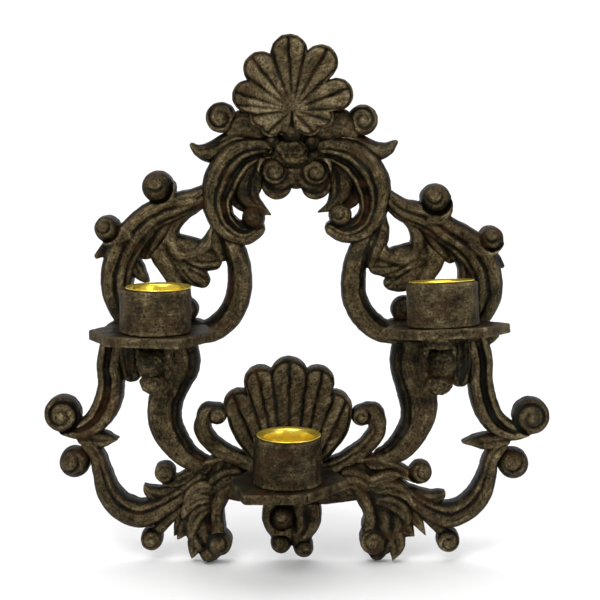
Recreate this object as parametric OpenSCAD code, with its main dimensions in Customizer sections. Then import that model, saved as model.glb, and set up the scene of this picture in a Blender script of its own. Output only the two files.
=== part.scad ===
// Openwork carved wall sconce with three candle cups.
// The backboard is made of carved sections glued edge to edge; each is a flat-backed
// slab that stands on the wall plane. Three shelves carry blocks with lift-out brass cups.
// Frame: origin on the wall plane at the hanger's entry hole, +Z up, the front faces -Y.

/* [Backboard] */
// Thickness of the plain scrolls
scroll_t = 18; // [14:1:20]
// Thickness of the arches and the upper arms
arm_t = 23; // [20:1:28]
// Thickness of the leaves and small hooks
leaf_t = 15; // [10:1:18]
// Thickness of the crest's ground board
ground_t = 16; // [14:1:20]

/* [Shelves] */
// Thickness of a shelf
shelf_t = 8.7; // [8:0.1:12]
// Distance of a cup's axis from the wall
cup_reach = 55; // [50:1:60]
// Pitch of the right shelf, front edge raised
right_pitch = 5; // [0:0.5:6]
// Roll of the right shelf, outer end raised
right_roll = 2.5; // [0:0.5:3]

/* [Candle cups] */
// Inner radius of a brass cup
cup_r = 20.5; // [19.5:0.5:22]
// Depth of a brass cup from its rim
cup_depth = 17; // [12:1:20]
// Wall thickness of a brass cup
cup_wall = 0.8; // [0.6:0.1:1.2]
// Radius of a cup's flange
flange_r = 26; // [25:0.5:27]
// Radius of a candle block
block_r = 29; // [28:0.5:31]

/* [Hanger] */
// Radius of the keyhole's round entry
keyhole_r = 4.5; // [4:0.1:5]
// Half width of the keyhole's slot
slot_r = 2.3; // [2:0.1:2.6]
// Thickness of the hanger plate
plate_t = 1.6; // [1.2:0.1:2]

/* [Hidden] */
$fn = 48;

glue_line = 0.08;        // gap left along every glued edge
running_gap = 0.3;       // clearance of a brass cup in its block
screw_r = 1.75;          // wood screw shank
screw_head_r = 3.4;      // countersunk head
screw_head_t = 2.2;
screw_gap = 0.05;        // clearance round a shank
wood = [0.27, 0.23, 0.17];
dark_wood = [0.19, 0.17, 0.13];
brass = [0.83, 0.64, 0.14];
steel = [0.62, 0.62, 0.60];

// ---- smooth ribbons: each control point is [x, z, half width] ----
function blend(a, b, c, d, t) =
    0.5 * (2*b + (c - a)*t + (2*a - 5*b + 4*c - d)*t*t + (3*b - a - 3*c + d)*t*t*t);
function smooth(p, n = 5) = [
    for (i = [0:len(p) - 2]) for (k = [0:n - 1])
        blend(p[max(i - 1, 0)], p[i], p[i + 1], p[min(i + 2, len(p) - 1)], k/n),
    p[len(p) - 1]
];
function heading(s, i) =
    let (a = s[max(i - 1, 0)], b = s[min(i + 1, len(s) - 1)])
    atan2(b[1] - a[1], b[0] - a[0]);
function offset_point(s, i, turn, grow) =
    let (a = heading(s, i) + turn, h = s[i][2] + grow)
    [s[i][0] + h*cos(a), s[i][1] + h*sin(a)];
function ribbon(p, grow = 0) =
    let (s = smooth(p), last = len(s) - 1)
    concat(
        [for (i = [0:last]) offset_point(s, i, 90, grow)],
        [for (a = [60:-30:-60]) offset_point(s, last, a, grow)],
        [for (i = [last:-1:0]) offset_point(s, i, -90, grow)],
        [for (a = [-120:-30:-240]) offset_point(s, 0, a, grow)]
    );
// One lobe of a shell, pointing along +X from the hub
function lobe(reach, half, grow = 0) = concat(
    [[0, -3 - grow]],
    [for (a = [-95:10:95]) [reach - half + (half + grow)*cos(a), (half + grow)*sin(a)]],
    [[0, 3 + grow]]
);

// ---- shell lobes: [direction, reach, half width] ----
crest_hub = [-2, 23];
crest_lobes = [
    [93, 60, 15], [59, 58, 14], [19, 51, 13], [-12, 34, 9], [-40, 27, 9], [-66, 20, 7],
    [128, 55, 14], [163, 50, 13], [191, 35, 9], [216, 30, 9], [241, 22, 8]
];
lower_hub = [-5, -268];
lower_lobes = [
    [90, 87, 16], [70, 84, 14], [50, 73, 13], [37, 59.5, 13], [23, 38.5, 12.5],
    [110, 84, 14], [132, 76, 13], [142, 58.5, 13], [158, 39, 12.5]
];

// ---- section outlines: [name, ribbons, discs as [x, z, radius]] ----
SHAPES = [
    ["crest_ground",
        [[[-10, 10, 16], [-28, 12, 13], [-42, 14, 12], [-55, 10, 7]],
         [[8, 10, 16], [26, 12, 13], [38, 13, 12], [51, 9, 7]]],
        [[0, -5, 22], [-2, 23, 33], [-21, -12, 8], [19, -12, 8]]],
    ["crest_bud_left", [], [[-60, 17, 12.5]]],
    ["crest_bud_right", [], [[55, 15, 12.5]]],
    ["crest_wing_left", [[[-32, 2, 11], [-51, -3, 10], [-67, -11, 9], [-78, -10, 5], [-84, -5.5, 2.2]]], []],
    ["crest_wing_right", [[[28, 4, 11], [46, -4, 11], [62, -10, 9], [74, -9, 6], [82, -3, 2.2]]], []],
    ["crest_pendant", [],
        [[-11, -27, 14], [13, -27, 14], [-15, -37, 12.5], [17, -37, 12.5]]],
    ["arch_left",
        [[[-16, -10, 7], [-32, -9, 10], [-48, -16, 14], [-59, -32, 15], [-64, -50, 12.5],
          [-60, -66, 10.5], [-51, -76, 9], [-40, -79, 7.5], [-31, -74, 6.5]]],
        [[-34, -64, 9.5]]],
    ["arch_right",
        [[[14, -10, 7], [30, -9, 10], [49, -16, 14], [62, -33, 15], [65, -51, 12.5],
          [61, -66, 10.5], [52, -75, 9], [40, -77, 7.5], [31, -73, 6.5]]],
        [[37, -62, 9.5]]],
    ["arch_leaf_left",
        [[[-27, -17, 6.5], [-36, -27, 10], [-40, -40, 10.5], [-37, -50, 8], [-29, -57, 5], [-20, -62, 0.5]],
         [[-44, -36, 8], [-47, -46, 7], [-46, -53, 4]],
         [[-30, -22, 5], [-30, -32, 5], [-31, -42, 3]]], []],
    ["arch_leaf_right",
        [[[22, -17, 6.5], [35, -25, 10], [38, -38, 10.5], [35, -48, 7.5], [29, -55, 4], [19, -60, 0.5]],
         [[44, -36, 8], [48, -46, 7], [46, -54, 4]]], []],
    ["upper_arm_left",
        [[[-64, -38, 5.5], [-81, -49, 9], [-100, -56, 11.5], [-119, -65, 12.5], [-134, -81, 14],
          [-144, -101, 14], [-147, -120, 13], [-144, -136, 11.5], [-137, -150, 10.5], [-134, -156, 10]],
         [[-143, -82, 6.5], [-155, -90, 5.5], [-163, -96, 2.5]],
         [[-100, -52, 4], [-108, -50, 5], [-113, -45, 5]],
         [[-142, -79, 5], [-149, -78, 5]],
         [[-134, -82, 7], [-135, -97, 7], [-130, -107, 6], [-125, -114, 3.5], [-121, -118, 0.5]],
         [[-98, -60, 6], [-112, -72, 10], [-120, -84, 11], [-123, -92, 7]]],
        [[-112, -39, 13], [-154, -73, 10.5]]],
    ["upper_arm_right",
        [[[71, -43, 5.5], [87, -57, 9], [106, -64, 11.5], [125, -76, 12.5], [144, -89, 14],
          [155, -107, 14], [158, -126, 13], [154, -140, 11.5], [148, -151, 10.5], [145, -156, 10]],
         [[152, -92, 6.5], [163, -97, 5.5], [171, -104, 2]],
         [[104, -61, 4], [112, -59, 5], [118, -54, 5]],
         [[148, -87, 5], [156, -86, 5]],
         [[137, -92, 8], [142, -105, 8], [141, -117, 6.5], [138, -129, 5]],
         [[104, -66, 6], [115, -78, 10], [124, -89, 10], [128, -96, 6]]],
        [[115, -49, 12.5], [161, -81, 10]]],
    ["fan_leaf_left",
        [[[-102, -59, 7.5], [-111, -76, 10], [-112, -92, 9], [-106, -105, 7.5], [-98, -119, 6.5], [-92, -134, 6.5]],
         [[-96, -91, 11.5], [-80, -96, 11.5], [-68, -101, 6.5]],
         [[-96, -97, 10], [-86, -109, 10.5], [-76, -117, 5.5]],
         [[-76, -53, 4], [-92, -63, 5], [-101, -74, 6], [-101, -86, 7], [-93, -95, 6.5], [-80, -92, 5.5],
          [-70, -83, 6], [-64, -74, 6]]], []],
    ["fan_leaf_right",
        [[[106, -69, 7.5], [116, -86, 10], [114, -101, 9], [109, -112, 7.5], [106, -125, 6.5], [101, -136, 6.5]],
         [[99, -97, 11.5], [83, -102, 11.5], [67, -104, 6.5]],
         [[103, -102, 10], [90, -115, 10.5], [80, -119, 5.5]],
         [[80, -57, 4], [95, -68, 5], [101, -80, 6], [99, -92, 6.5], [90, -99, 6], [78, -97, 5.5],
          [68, -88, 7], [62, -76, 7]]], []],
    ["scroll_bud_left", [], [[-90, -141, 10]]],
    ["scroll_bud_right", [], [[91, -141, 11.5]]],
    ["c_scroll_left",
        [[[-60, -72, 8], [-50, -91, 9], [-46, -109, 10], [-47, -128, 10.5], [-54, -145, 10.5], [-67, -157, 10],
          [-80, -161, 8.5]],
         [[-64, -74, 6.5], [-62, -85, 9], [-60, -96, 5]]], []],
    ["c_scroll_right",
        [[[61, -73, 8], [53, -92, 9], [49, -109, 10], [49, -129, 10.5], [56, -145, 10.5], [69, -157, 10],
          [82, -161, 8.5]],
         [[70, -66, 6], [70, -77, 8], [66, -88, 9], [62, -101, 6]]], []],
    ["shelf_seat_left",
        [[[-146, -159, 10], [-82, -159, 10]],
         [[-137, -164, 10], [-138, -179, 9.5], [-137, -194, 8.5]]], []],
    ["shelf_seat_right",
        [[[146, -159, 10], [82, -159, 10]],
         [[138, -164, 10], [139, -182, 9.5], [138, -198, 8.5]]], []],
    ["inner_stile_left",
        [[[-98, -172, 16], [-96, -187, 16.5], [-103, -204, 15], [-109, -220, 14.5], [-109, -238, 14],
          [-102, -253, 12.5], [-91, -266, 10], [-75, -275, 7.5]]], []],
    ["inner_stile_right",
        [[[97, -172, 16], [96, -187, 16.5], [102, -210, 16.5], [104, -227, 15], [100, -242, 13],
          [91, -256, 11.5], [80, -265, 9], [73, -267, 7]]], []],
    ["outer_stile_left",
        [[[-150, -162, 10.5], [-155, -186, 10.5], [-154, -204, 11], [-158, -221, 11.5], [-167, -235, 10],
          [-180, -243, 8], [-192, -241, 7]],
         [[-177, -250, 6.5], [-164, -251, 7.5], [-156, -251, 4], [-149, -251, 0.5]]],
        [[-195, -229, 15.5]]],
    ["outer_stile_right",
        [[[148, -160, 10.5], [154, -181, 10.5], [155, -201, 10.5], [159, -220, 11], [167, -235, 10],
          [181, -244, 8], [193, -242, 7]],
         [[175, -251, 6.5], [163, -253, 7.5], [150, -253, 4], [141, -254, 0.5]],
         [[152, -166, 7], [160, -165, 5.5], [167, -162, 2.5]]],
        [[198, -231, 15.5]]],
    ["side_ball_left", [], [[-186, -271, 13]]],
    ["side_ball_right", [], [[184, -272, 13]]],
    ["lower_scroll_left",
        [[[-174, -256, 6.5], [-167, -265, 6.5], [-163, -280, 8], [-158, -297, 10], [-147, -310, 11.5],
          [-131, -316, 12], [-114, -310, 10], [-95, -298, 8], [-79, -285, 7]],
         [[-84, -291, 5], [-100, -297, 7.5], [-114, -300, 7.5], [-123, -297, 5], [-128, -291, 0.5]],
         [[-96, -310, 4], [-108, -321, 5], [-117, -331, 5]]],
        [[-122, -338, 9.5]]],
    ["lower_scroll_right",
        [[[173, -258, 6.5], [165, -268, 6.5], [162, -283, 8], [156, -299, 10], [145, -311, 10.5],
          [129, -317, 11], [112, -311, 9], [95, -299, 7.5], [79, -285, 7]],
         [[83, -292, 5], [100, -299, 6.5], [114, -303, 6.5], [122, -301, 5], [127, -297, 0.5]],
         [[106, -313, 4], [117, -323, 5], [125, -331, 5]]],
        [[130, -339, 10]]],
    ["hook_leaf_left",
        [[[-109, -287, 4], [-99, -287, 5], [-85, -280, 5.5], [-70, -273, 6.5], [-55, -271, 6.5]]],
        [[-110, -280, 9]]],
    ["hook_leaf_right",
        [[[104, -286, 4], [92, -280, 5], [80, -274, 5.5], [66, -271, 6.5], [50, -273, 6.5]]],
        [[106, -280, 10]]],
    ["foot_leaf_left",
        [[[-60, -280, 12], [-68, -294, 15], [-77, -306, 16.5], [-81, -320, 16], [-77, -334, 14],
          [-72, -345, 11.5], [-72, -351, 8]],
         [[-81, -329, 10], [-85, -343, 6.5], [-88, -355, 0.5]],
         [[-87, -308, 5], [-97, -321, 5], [-103, -336, 0.5]],
         [[-84, -313, 7.5], [-92, -325, 7.5], [-100, -338, 0.5]]],
        [[-64, -340, 10.5]]],
    ["foot_leaf_right",
        [[[54, -282, 12], [65, -296, 15], [73, -308, 16.5], [77, -320, 16], [75, -334, 13],
          [71, -345, 10.5], [70, -351, 7]],
         [[82, -329, 10], [86, -343, 7.5], [83, -356, 0.5]],
         [[92, -308, 5], [103, -321, 5], [111, -335, 0.5]],
         [[82, -315, 7.5], [92, -327, 8], [101, -335, 0.5]]],
        [[66, -338, 11.5]]],
    ["base_rail", [[[-58, -289, 13], [-31, -293, 14], [-4, -293, 14], [23, -293, 14], [48, -291, 13]]], []],
    ["shell_hook_left",
        [[[-76, -232, 6.5], [-78, -243, 7.5], [-71, -254, 7.5], [-58, -264, 7.5], [-42, -271, 7.5]],
         [[-70, -231, 8], [-66, -231, 9]]], []],
    ["shell_hook_right",
        [[[66, -232, 6.5], [69, -244, 7.5], [60, -257, 7.5], [47, -267, 7.5], [34, -274, 7.5]],
         [[70, -237, 7], [66, -229, 8.5], [56, -231, 9]]], []],
    ["centre_drop",
        [[[-3, -311, 24], [-3, -318, 25.5], [-3, -328, 19]],
         [[-9, -330, 10], [-12, -341, 9]],
         [[3, -330, 9], [7, -345, 8.5]]], []]
];
function shape(name) = [for (s = SHAPES) if (s[0] == name) s][0];

// Flat outline of one section, larger all round by grow
module outline(name, grow = 0) {
    if (name == "crest_shell") shell_outline(crest_hub, crest_lobes, grow);
    else if (name == "lower_shell") shell_outline(lower_hub, lower_lobes, grow);
    else {
        for (line = shape(name)[1]) polygon(ribbon(line, grow));
        for (d = shape(name)[2]) translate([d[0], d[1]]) circle(d[2] + grow);
    }
}
module shell_outline(hub, lobes, grow = 0) {
    translate(hub) {
        for (l = lobes) rotate(l[0]) polygon(lobe(l[1], l[2], grow));
        circle(9 + grow);
    }
}
// Stands a flat outline on the wall plane: X stays, Y becomes Z, thickness goes to -Y
module stand(t, from = 0) {
    translate([0, -from, 0]) rotate([90, 0, 0]) linear_extrude(t) children();
}
// A section of the backboard, cut back from the sections it is glued to
module section(name, t, beside = [], tint = wood) {
    color(tint) stand(t) difference() {
        outline(name);
        for (other = beside) outline(other, glue_line);
    }
}
// Domed button carved on a disc's face
module button(x, z, r, t, rise) {
    translate([x, -t, z]) rotate([90, 0, 0]) rotate_extrude()
        polygon([[0, -1], [r, -1], [r, 0], [0.85*r, 0.55*rise], [0.5*r, 0.9*rise], [0, rise]]);
}

// ---- screws, pointing along +Y from a countersunk head at y = 0 ----
module screw(length, grow = 0) {
    rotate([90, 0, 0]) {
        cylinder(r = screw_r + grow, h = length);
        cylinder(r1 = screw_head_r + grow, r2 = screw_r + grow, h = screw_head_t);
    }
}

// ---- hanger ----
plate_w = 40;
plate_h = 26;
plate_mid = 4;           // height of the plate's centre over the entry hole
slot_top = 10;           // height of the slot's top centre
hanger_screw_x = 15;
hanger_screw_len = 12;
head_pocket_t = 8;       // depth cut behind the keyhole for a screw head
module keyhole_outline(grow = 0) {
    circle(keyhole_r + grow);
    translate([0, slot_top]) circle(slot_r + grow);
    translate([-slot_r - grow, 0]) square([2*slot_r + 2*grow, slot_top]);
}
module hanger_screw_places() {
    for (x = [-hanger_screw_x, hanger_screw_x]) translate([x, 0, plate_mid]) children();
}
module hanger_plate() {
    color(steel) difference() {
        stand(plate_t) difference() {
            translate([-plate_w/2, plate_mid - plate_h/2]) square([plate_w, plate_h]);
            keyhole_outline();
        }
        hanger_screw_places() screw(hanger_screw_len, screw_gap);
    }
}
module hanger_screws() {
    color(steel) hanger_screw_places() screw(hanger_screw_len);
}
module hanger_recess() {
    edge = 0.1;
    translate([-plate_w/2 - edge, -plate_t - 0.05, plate_mid - plate_h/2 - edge])
        cube([plate_w + 2*edge, plate_t + 1, plate_h + 2*edge]);
    translate([-8, -head_pocket_t, -8]) cube([16, head_pocket_t + 1, 24]);
    hanger_screw_places() screw(hanger_screw_len, screw_gap);
}

// ---- crest ----
shell_step = 8;          // the crest shell stands this far forward of the wall
shell_face = 28;         // and its front face this far
rosette_place = [-3, -10];
rosette_r = 15.5;
rosette_t = 14;
module crest_shell() {
    color(wood) difference() {
        stand(shell_face - shell_step, shell_step + glue_line) difference() {
            outline("crest_shell");
            translate(rosette_place) circle(rosette_r + glue_line);
        }
        hanger_screw_places() screw(hanger_screw_len, screw_gap);
    }
}
module crest_ground() {
    color(wood) difference() {
        union() {
            stand(shell_step) outline("crest_ground");
            stand(ground_t) difference() {
                outline("crest_ground");
                outline("crest_shell", glue_line);
            }
        }
        hanger_recess();
    }
}
module crest_rosette() {
    color(wood) translate([rosette_place[0], -ground_t - glue_line, rosette_place[1]])
        rotate([90, 0, 0]) rotate_extrude() polygon([
            [0, 0], [rosette_r - 0.5, 0], [rosette_r, 5], [rosette_r - 2.5, rosette_t - 3],
            [rosette_r - 7.5, rosette_t], [0, rosette_t - 1]
        ]);
}
module crest_pendant() {
    section("crest_pendant", arm_t, ["crest_ground"]);
}
module crest_bud(side) {
    name = str("crest_bud_", side);
    section(name, ground_t + 2, ["crest_ground"]);
    d = shape(name)[2][0];
    color(wood) button(d[0], d[1], 9, ground_t + 2, 4);
}
module crest_wing(side) {
    section(str("crest_wing_", side), leaf_t, ["crest_ground", str("crest_bud_", side), str("arch_", side)]);
}

// ---- upper frame ----
module arch(side) {
    name = str("arch_", side);
    d = shape(name)[2][0];
    section(name, arm_t, ["crest_ground", "crest_pendant"]);
    color(wood) button(d[0], d[1], 8, arm_t, 4);
}
module arch_leaf(side) {
    section(str("arch_leaf_", side), leaf_t, ["crest_ground", "crest_pendant", str("arch_", side)], dark_wood);
}
// Each arm is notched to the seats' thickness where its shelf passes in front of it
module upper_arm(side) {
    name = str("upper_arm_", side);
    difference() {
        section(name, arm_t, [str("arch_", side), str("shelf_seat_", side)]);
        translate([-250, -arm_t - 1, -200]) cube([500, arm_t + 1 - seat_t, 200 + place(side)[3] + 1]);
    }
    color(wood) for (d = shape(name)[2]) button(d[0], d[1], 0.7*d[2], arm_t, 1.8);
}
module fan_leaf(side) {
    section(str("fan_leaf_", side), leaf_t,
        [for (n = ["arch_", "upper_arm_", "c_scroll_", "shelf_seat_", "scroll_bud_"]) str(n, side)]);
}
module scroll_bud(side) {
    name = str("scroll_bud_", side);
    d = shape(name)[2][0];
    section(name, leaf_t, [for (n = ["upper_arm_", "shelf_seat_"]) str(n, side)], dark_wood);
    color(dark_wood) button(d[0], d[1], 0.6*d[2], leaf_t, 3);
}
module c_scroll(side) {
    section(str("c_scroll_", side), scroll_t, [str("arch_", side), str("shelf_seat_", side)]);
}

// ---- lower frame ----
seat_t = 18;             // the shelves stand on the seats' front faces
module shelf_seat(side) {
    color(dark_wood) difference() {
        stand(seat_t) outline(str("shelf_seat_", side));
        shelf_screw_places(side) screw(shelf_screw_len, screw_gap);
    }
}
module inner_stile(side) {
    section(str("inner_stile_", side), scroll_t,
        [str("shelf_seat_", side), str("c_scroll_", side), str("foot_leaf_", side), str("hook_leaf_", side),
         "base_rail"]);
}
module outer_stile(side) {
    name = str("outer_stile_", side);
    d = shape(name)[2][0];
    section(name, scroll_t, [str("shelf_seat_", side), str("upper_arm_", side)]);
    color(wood) button(d[0], d[1], 11, scroll_t, 5);
}
module side_ball(side) {
    name = str("side_ball_", side);
    d = shape(name)[2][0];
    section(name, scroll_t, [str("outer_stile_", side), str("lower_scroll_", side)]);
    color(wood) button(d[0], d[1], 9, scroll_t, 4);
}
module lower_scroll(side) {
    name = str("lower_scroll_", side);
    d = shape(name)[2][0];
    section(name, scroll_t, [str("outer_stile_", side), str("foot_leaf_", side)]);
    color(wood) button(d[0], d[1], 7, scroll_t, 3);
}
module hook_leaf(side) {
    name = str("hook_leaf_", side);
    d = shape(name)[2][0];
    section(name, leaf_t, [str("foot_leaf_", side), str("lower_scroll_", side), str("shell_hook_", side), "base_rail"]);
    color(wood) button(d[0], d[1], 6.5, leaf_t, 3);
}
module foot_leaf(side) {
    name = str("foot_leaf_", side);
    d = shape(name)[2][0];
    section(name, arm_t, ["base_rail"]);
    color(wood) button(d[0], d[1], 7.5, arm_t, 3);
}
module base_rail() {
    color(dark_wood) difference() {
        stand(seat_t) outline("base_rail");
        shelf_screw_places("lower") screw(shelf_screw_len, screw_gap);
    }
}
module lower_shell() {
    section("lower_shell", seat_t, ["base_rail"]);
}
module shell_hook(side) {
    section(str("shell_hook_", side), leaf_t, ["lower_shell", "base_rail", str("foot_leaf_", side)]);
}
module centre_drop() {
    section("centre_drop", arm_t, ["base_rail"]);
}

// ---- shelves: hexagons in plan, [x, y] seen from above ----
seat_face = seat_t + glue_line;
shelf_plan = [
    ["left", [[-150, -15], [-166, -46], [-146, -80], [-90, -90], [-62, -52], [-74, -15]]],
    ["right", [[158, -15], [172, -50], [148, -84], [96, -84], [70, -50], [82, -15]]],
    ["lower", [[-36, -15], [-54, -50], [-40, -93], [8, -93], [44, -48], [30, -15]]]
];
// Cup places: [side, x of the block, x of the cup, shelf top, block height]
places = [["left", -110.5, -108, -151.5, 35], ["right", 118, 118, -147, 35], ["lower", -6, -5, -274.5, 38]];
function place(side) = [for (p = places) if (p[0] == side) p][0];
function plan(side) = [for (p = shelf_plan) if (p[0] == side) p[1]][0];
shelf_screw_len = 34;
shelf_screw_step = 22;   // half the distance between a shelf's two screws
block_screw_len = 21;
// Tilts what stands on the right shelf about the point where its block stands
module tilted(side) {
    p = place(side);
    translate([p[1], -cup_reach, p[3]])
        rotate(side == "right" ? [-right_pitch, -right_roll, 0] : [0, 0, 0])
            translate([-p[1], cup_reach, -p[3]]) children();
}
module shelf_screw_places(side) {
    p = place(side);
    for (dx = [-shelf_screw_step, shelf_screw_step])
        translate([p[1] + dx, 0, screw_height(side, dx)]) children();
}
// Height of a shelf's middle where a screw enters it
function screw_height(side, dx) =
    place(side)[3] - shelf_t/2
    - (side == "right" ? (cup_reach - seat_t - 8)*sin(right_pitch) - dx*sin(right_roll) : 0);
module shelf(side) {
    p = place(side);
    color(wood) difference() {
        intersection() {
            tilted(side) translate([0, 0, p[3] - shelf_t]) linear_extrude(shelf_t) polygon(plan(side));
            translate([-250, -150, -400]) cube([500, 150 - seat_face, 400]);
        }
        shelf_screw_places(side) screw(shelf_screw_len, screw_gap);
        block_screw_place(side) screw(block_screw_len, screw_gap);
    }
}
// A block's screw points up from the underside of its shelf
module block_screw_place(side) {
    p = place(side);
    tilted(side) translate([p[2], -cup_reach, p[3] - shelf_t]) rotate([-90, 0, 0]) children();
}
module candle_block(side) {
    p = place(side);
    pocket_r = cup_r + cup_wall + running_gap;
    color(wood) difference() {
        tilted(side) difference() {
            translate([p[1], -cup_reach, p[3] + glue_line]) rotate(15) cylinder(r = block_r, h = p[4], $fn = 12);
            translate([p[2], -cup_reach, p[3] + p[4] - cup_depth]) cylinder(r = pocket_r, h = cup_depth + 1);
        }
        block_screw_place(side) screw(block_screw_len, screw_gap);
    }
}
// Thin brass cup with a flange that rests on the block
module brass_cup(side) {
    p = place(side);
    outer_r = cup_r + cup_wall;
    rim_t = 1.2;
    color(brass) tilted(side) translate([p[2], -cup_reach, p[3] + p[4] + 0.2]) rotate_extrude($fn = 96)
        polygon([
            [0, -cup_depth + 1], [outer_r, -cup_depth + 1], [outer_r, 0], [flange_r, 0],
            [flange_r, rim_t], [cup_r, rim_t], [cup_r, -cup_depth + 1 + cup_wall], [0, -cup_depth + 1 + cup_wall]
        ]);
}
module shelf_screws() {
    color(steel) for (p = places) shelf_screw_places(p[0]) screw(shelf_screw_len);
}
module block_screws() {
    color(steel) for (p = places) block_screw_place(p[0]) screw(block_screw_len);
}
// Turned and carved bud glued under a side shelf, its flat back on the seat and stile
module corbel(side) {
    x = side == "left" ? -115 : 117;
    top = side == "left" ? -160.4 : -161;
    color(dark_wood) intersection() {
        translate([x, -29, top - 48]) rotate_extrude() polygon([
            [0, 0], [7, 1], [12, 6], [12.5, 12], [10.5, 18], [13.5, 24], [15, 31], [14, 40], [12.5, 48], [0, 48]
        ]);
        translate([x - 30, -60, top - 60]) cube([60, 60 - scroll_t - glue_line, 60]);
    }
}

crest_shell();
crest_ground();
crest_rosette();
crest_pendant();
crest_wing("left");  // crest_wing_left
crest_wing("right");  // crest_wing_right
crest_bud("left");  // crest_bud_left
crest_bud("right");  // crest_bud_right
arch("left");  // arch_left
arch("right");  // arch_right
arch_leaf("left");  // arch_leaf_left
arch_leaf("right");  // arch_leaf_right
upper_arm("left");  // upper_arm_left
upper_arm("right");  // upper_arm_right
fan_leaf("left");  // fan_leaf_left
fan_leaf("right");  // fan_leaf_right
scroll_bud("left");  // scroll_bud_left
scroll_bud("right");  // scroll_bud_right
c_scroll("left");  // c_scroll_left
c_scroll("right");  // c_scroll_right
shelf_seat("left");  // shelf_seat_left
shelf_seat("right");  // shelf_seat_right
inner_stile("left");  // inner_stile_left
inner_stile("right");  // inner_stile_right
outer_stile("left");  // outer_stile_left
outer_stile("right");  // outer_stile_right
side_ball("left");  // side_ball_left
side_ball("right");  // side_ball_right
lower_scroll("left");  // lower_scroll_left
lower_scroll("right");  // lower_scroll_right
hook_leaf("left");  // hook_leaf_left
hook_leaf("right");  // hook_leaf_right
foot_leaf("left");  // foot_leaf_left
foot_leaf("right");  // foot_leaf_right
base_rail();
lower_shell();
shell_hook("left");  // shell_hook_left
shell_hook("right");  // shell_hook_right
centre_drop();
corbel("left");  // corbel_left
corbel("right");  // corbel_right
shelf("left");  // shelf_left
shelf("right");  // shelf_right
shelf("lower");  // shelf_lower
candle_block("left");  // candle_block_left
candle_block("right");  // candle_block_right
candle_block("lower");  // candle_block_lower
brass_cup("left");  // brass_cup_left
brass_cup("right");  // brass_cup_right
brass_cup("lower");  // brass_cup_lower
hanger_plate();
hanger_screws();
shelf_screws();
block_screws();
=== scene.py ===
import math

import bpy
import mathutils
import numpy as np
import openvdb
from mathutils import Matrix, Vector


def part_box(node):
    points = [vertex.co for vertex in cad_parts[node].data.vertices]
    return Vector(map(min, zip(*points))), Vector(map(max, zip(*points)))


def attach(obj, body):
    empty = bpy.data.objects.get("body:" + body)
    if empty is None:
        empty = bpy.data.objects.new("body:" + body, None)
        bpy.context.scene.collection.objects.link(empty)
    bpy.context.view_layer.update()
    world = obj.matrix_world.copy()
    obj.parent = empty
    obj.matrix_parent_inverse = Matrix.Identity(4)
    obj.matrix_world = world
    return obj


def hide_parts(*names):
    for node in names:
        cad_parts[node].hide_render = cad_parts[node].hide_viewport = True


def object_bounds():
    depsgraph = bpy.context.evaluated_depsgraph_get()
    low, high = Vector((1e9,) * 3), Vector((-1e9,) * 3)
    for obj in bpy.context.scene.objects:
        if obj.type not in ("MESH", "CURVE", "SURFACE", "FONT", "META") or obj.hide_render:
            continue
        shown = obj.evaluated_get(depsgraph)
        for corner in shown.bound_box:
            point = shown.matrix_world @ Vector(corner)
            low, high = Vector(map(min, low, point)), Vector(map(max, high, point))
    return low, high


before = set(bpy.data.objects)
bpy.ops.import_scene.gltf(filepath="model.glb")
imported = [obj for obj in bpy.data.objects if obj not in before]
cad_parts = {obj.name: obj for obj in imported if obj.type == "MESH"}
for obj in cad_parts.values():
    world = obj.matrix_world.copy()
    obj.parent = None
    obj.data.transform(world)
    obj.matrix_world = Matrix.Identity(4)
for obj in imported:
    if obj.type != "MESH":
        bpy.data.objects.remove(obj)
cad_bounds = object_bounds()

MM = 0.001               # metres in a millimetre; the carving is worked out in millimetres
PITCH = 0.75   # spacing of the carving grid, mm
MARGIN = 3.5             # empty border round a carving grid, mm
KEEP = 0.42              # share of the grid's faces kept once flat areas are thinned out
TUCK = 3.0               # how far a section runs under the one beside it, mm
FAR = 4.0                # distances are not followed further out than this, mm


# ---------------------------------------------------------------- small field tools
def smooth_max(a, b, k):
    """The larger of two fields, with the edge between them rounded over about k mm."""
    h = np.maximum(k - np.abs(a - b), 0.0)/k
    return np.maximum(a, b) + h*h*k/4


def smooth_min(a, b, k):
    return -smooth_max(-a, -b, k)


def ripple(coords, size, seed, waves=7):
    """Gentle irregular waves about size across, from -1 to 1 or so, the same on every run."""
    rng = np.random.default_rng(seed)
    total = 0.0
    for _ in range(waves):
        way = rng.normal(size=len(coords))
        way *= 2*math.pi/(size*rng.uniform(0.6, 1.6)*np.linalg.norm(way))
        total = total + np.sin(sum(w*c for w, c in zip(way, coords)) + rng.uniform(0, 2*math.pi))
    return total/math.sqrt(waves*2)


def running_mean(field, axis, reach):
    """Mean over 2*reach + 1 cells along one axis; the border's values carry on outwards."""
    pad = [(reach + 1, reach) if k == axis else (0, 0) for k in range(field.ndim)]
    sums = np.cumsum(np.pad(field, pad, mode="edge"), axis=axis, dtype=np.float64)
    span, width = field.shape[axis], 2*reach + 1
    low = np.take(sums, range(span), axis=axis)
    high = np.take(sums, range(width, width + span), axis=axis)
    return (high - low)/width


def blurred(values, inside, reach):
    """Values averaged over a round patch of the given reach in cells, ignoring what lies outside."""
    weight = inside.astype(float)
    sums = values*weight
    for axis in (0, 0, 0, 1, 1, 1):
        weight = running_mean(weight, axis, reach)
        sums = running_mean(sums, axis, reach)
    return sums/np.maximum(weight, 1e-3)


def rolled_over(inset, drop):
    """How far a rounded edge has fallen away: nothing where inset is 0, the whole drop where it is 1."""
    return drop*(1 - np.sqrt(np.maximum(1 - inset**2, 0)))


def plane_grid(low, high):
    xs = np.arange(low[0] - MARGIN, high[0] + MARGIN, PITCH)
    zs = np.arange(low[1] - MARGIN, high[1] + MARGIN, PITCH)
    return np.meshgrid(xs, zs, indexing="ij")


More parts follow.
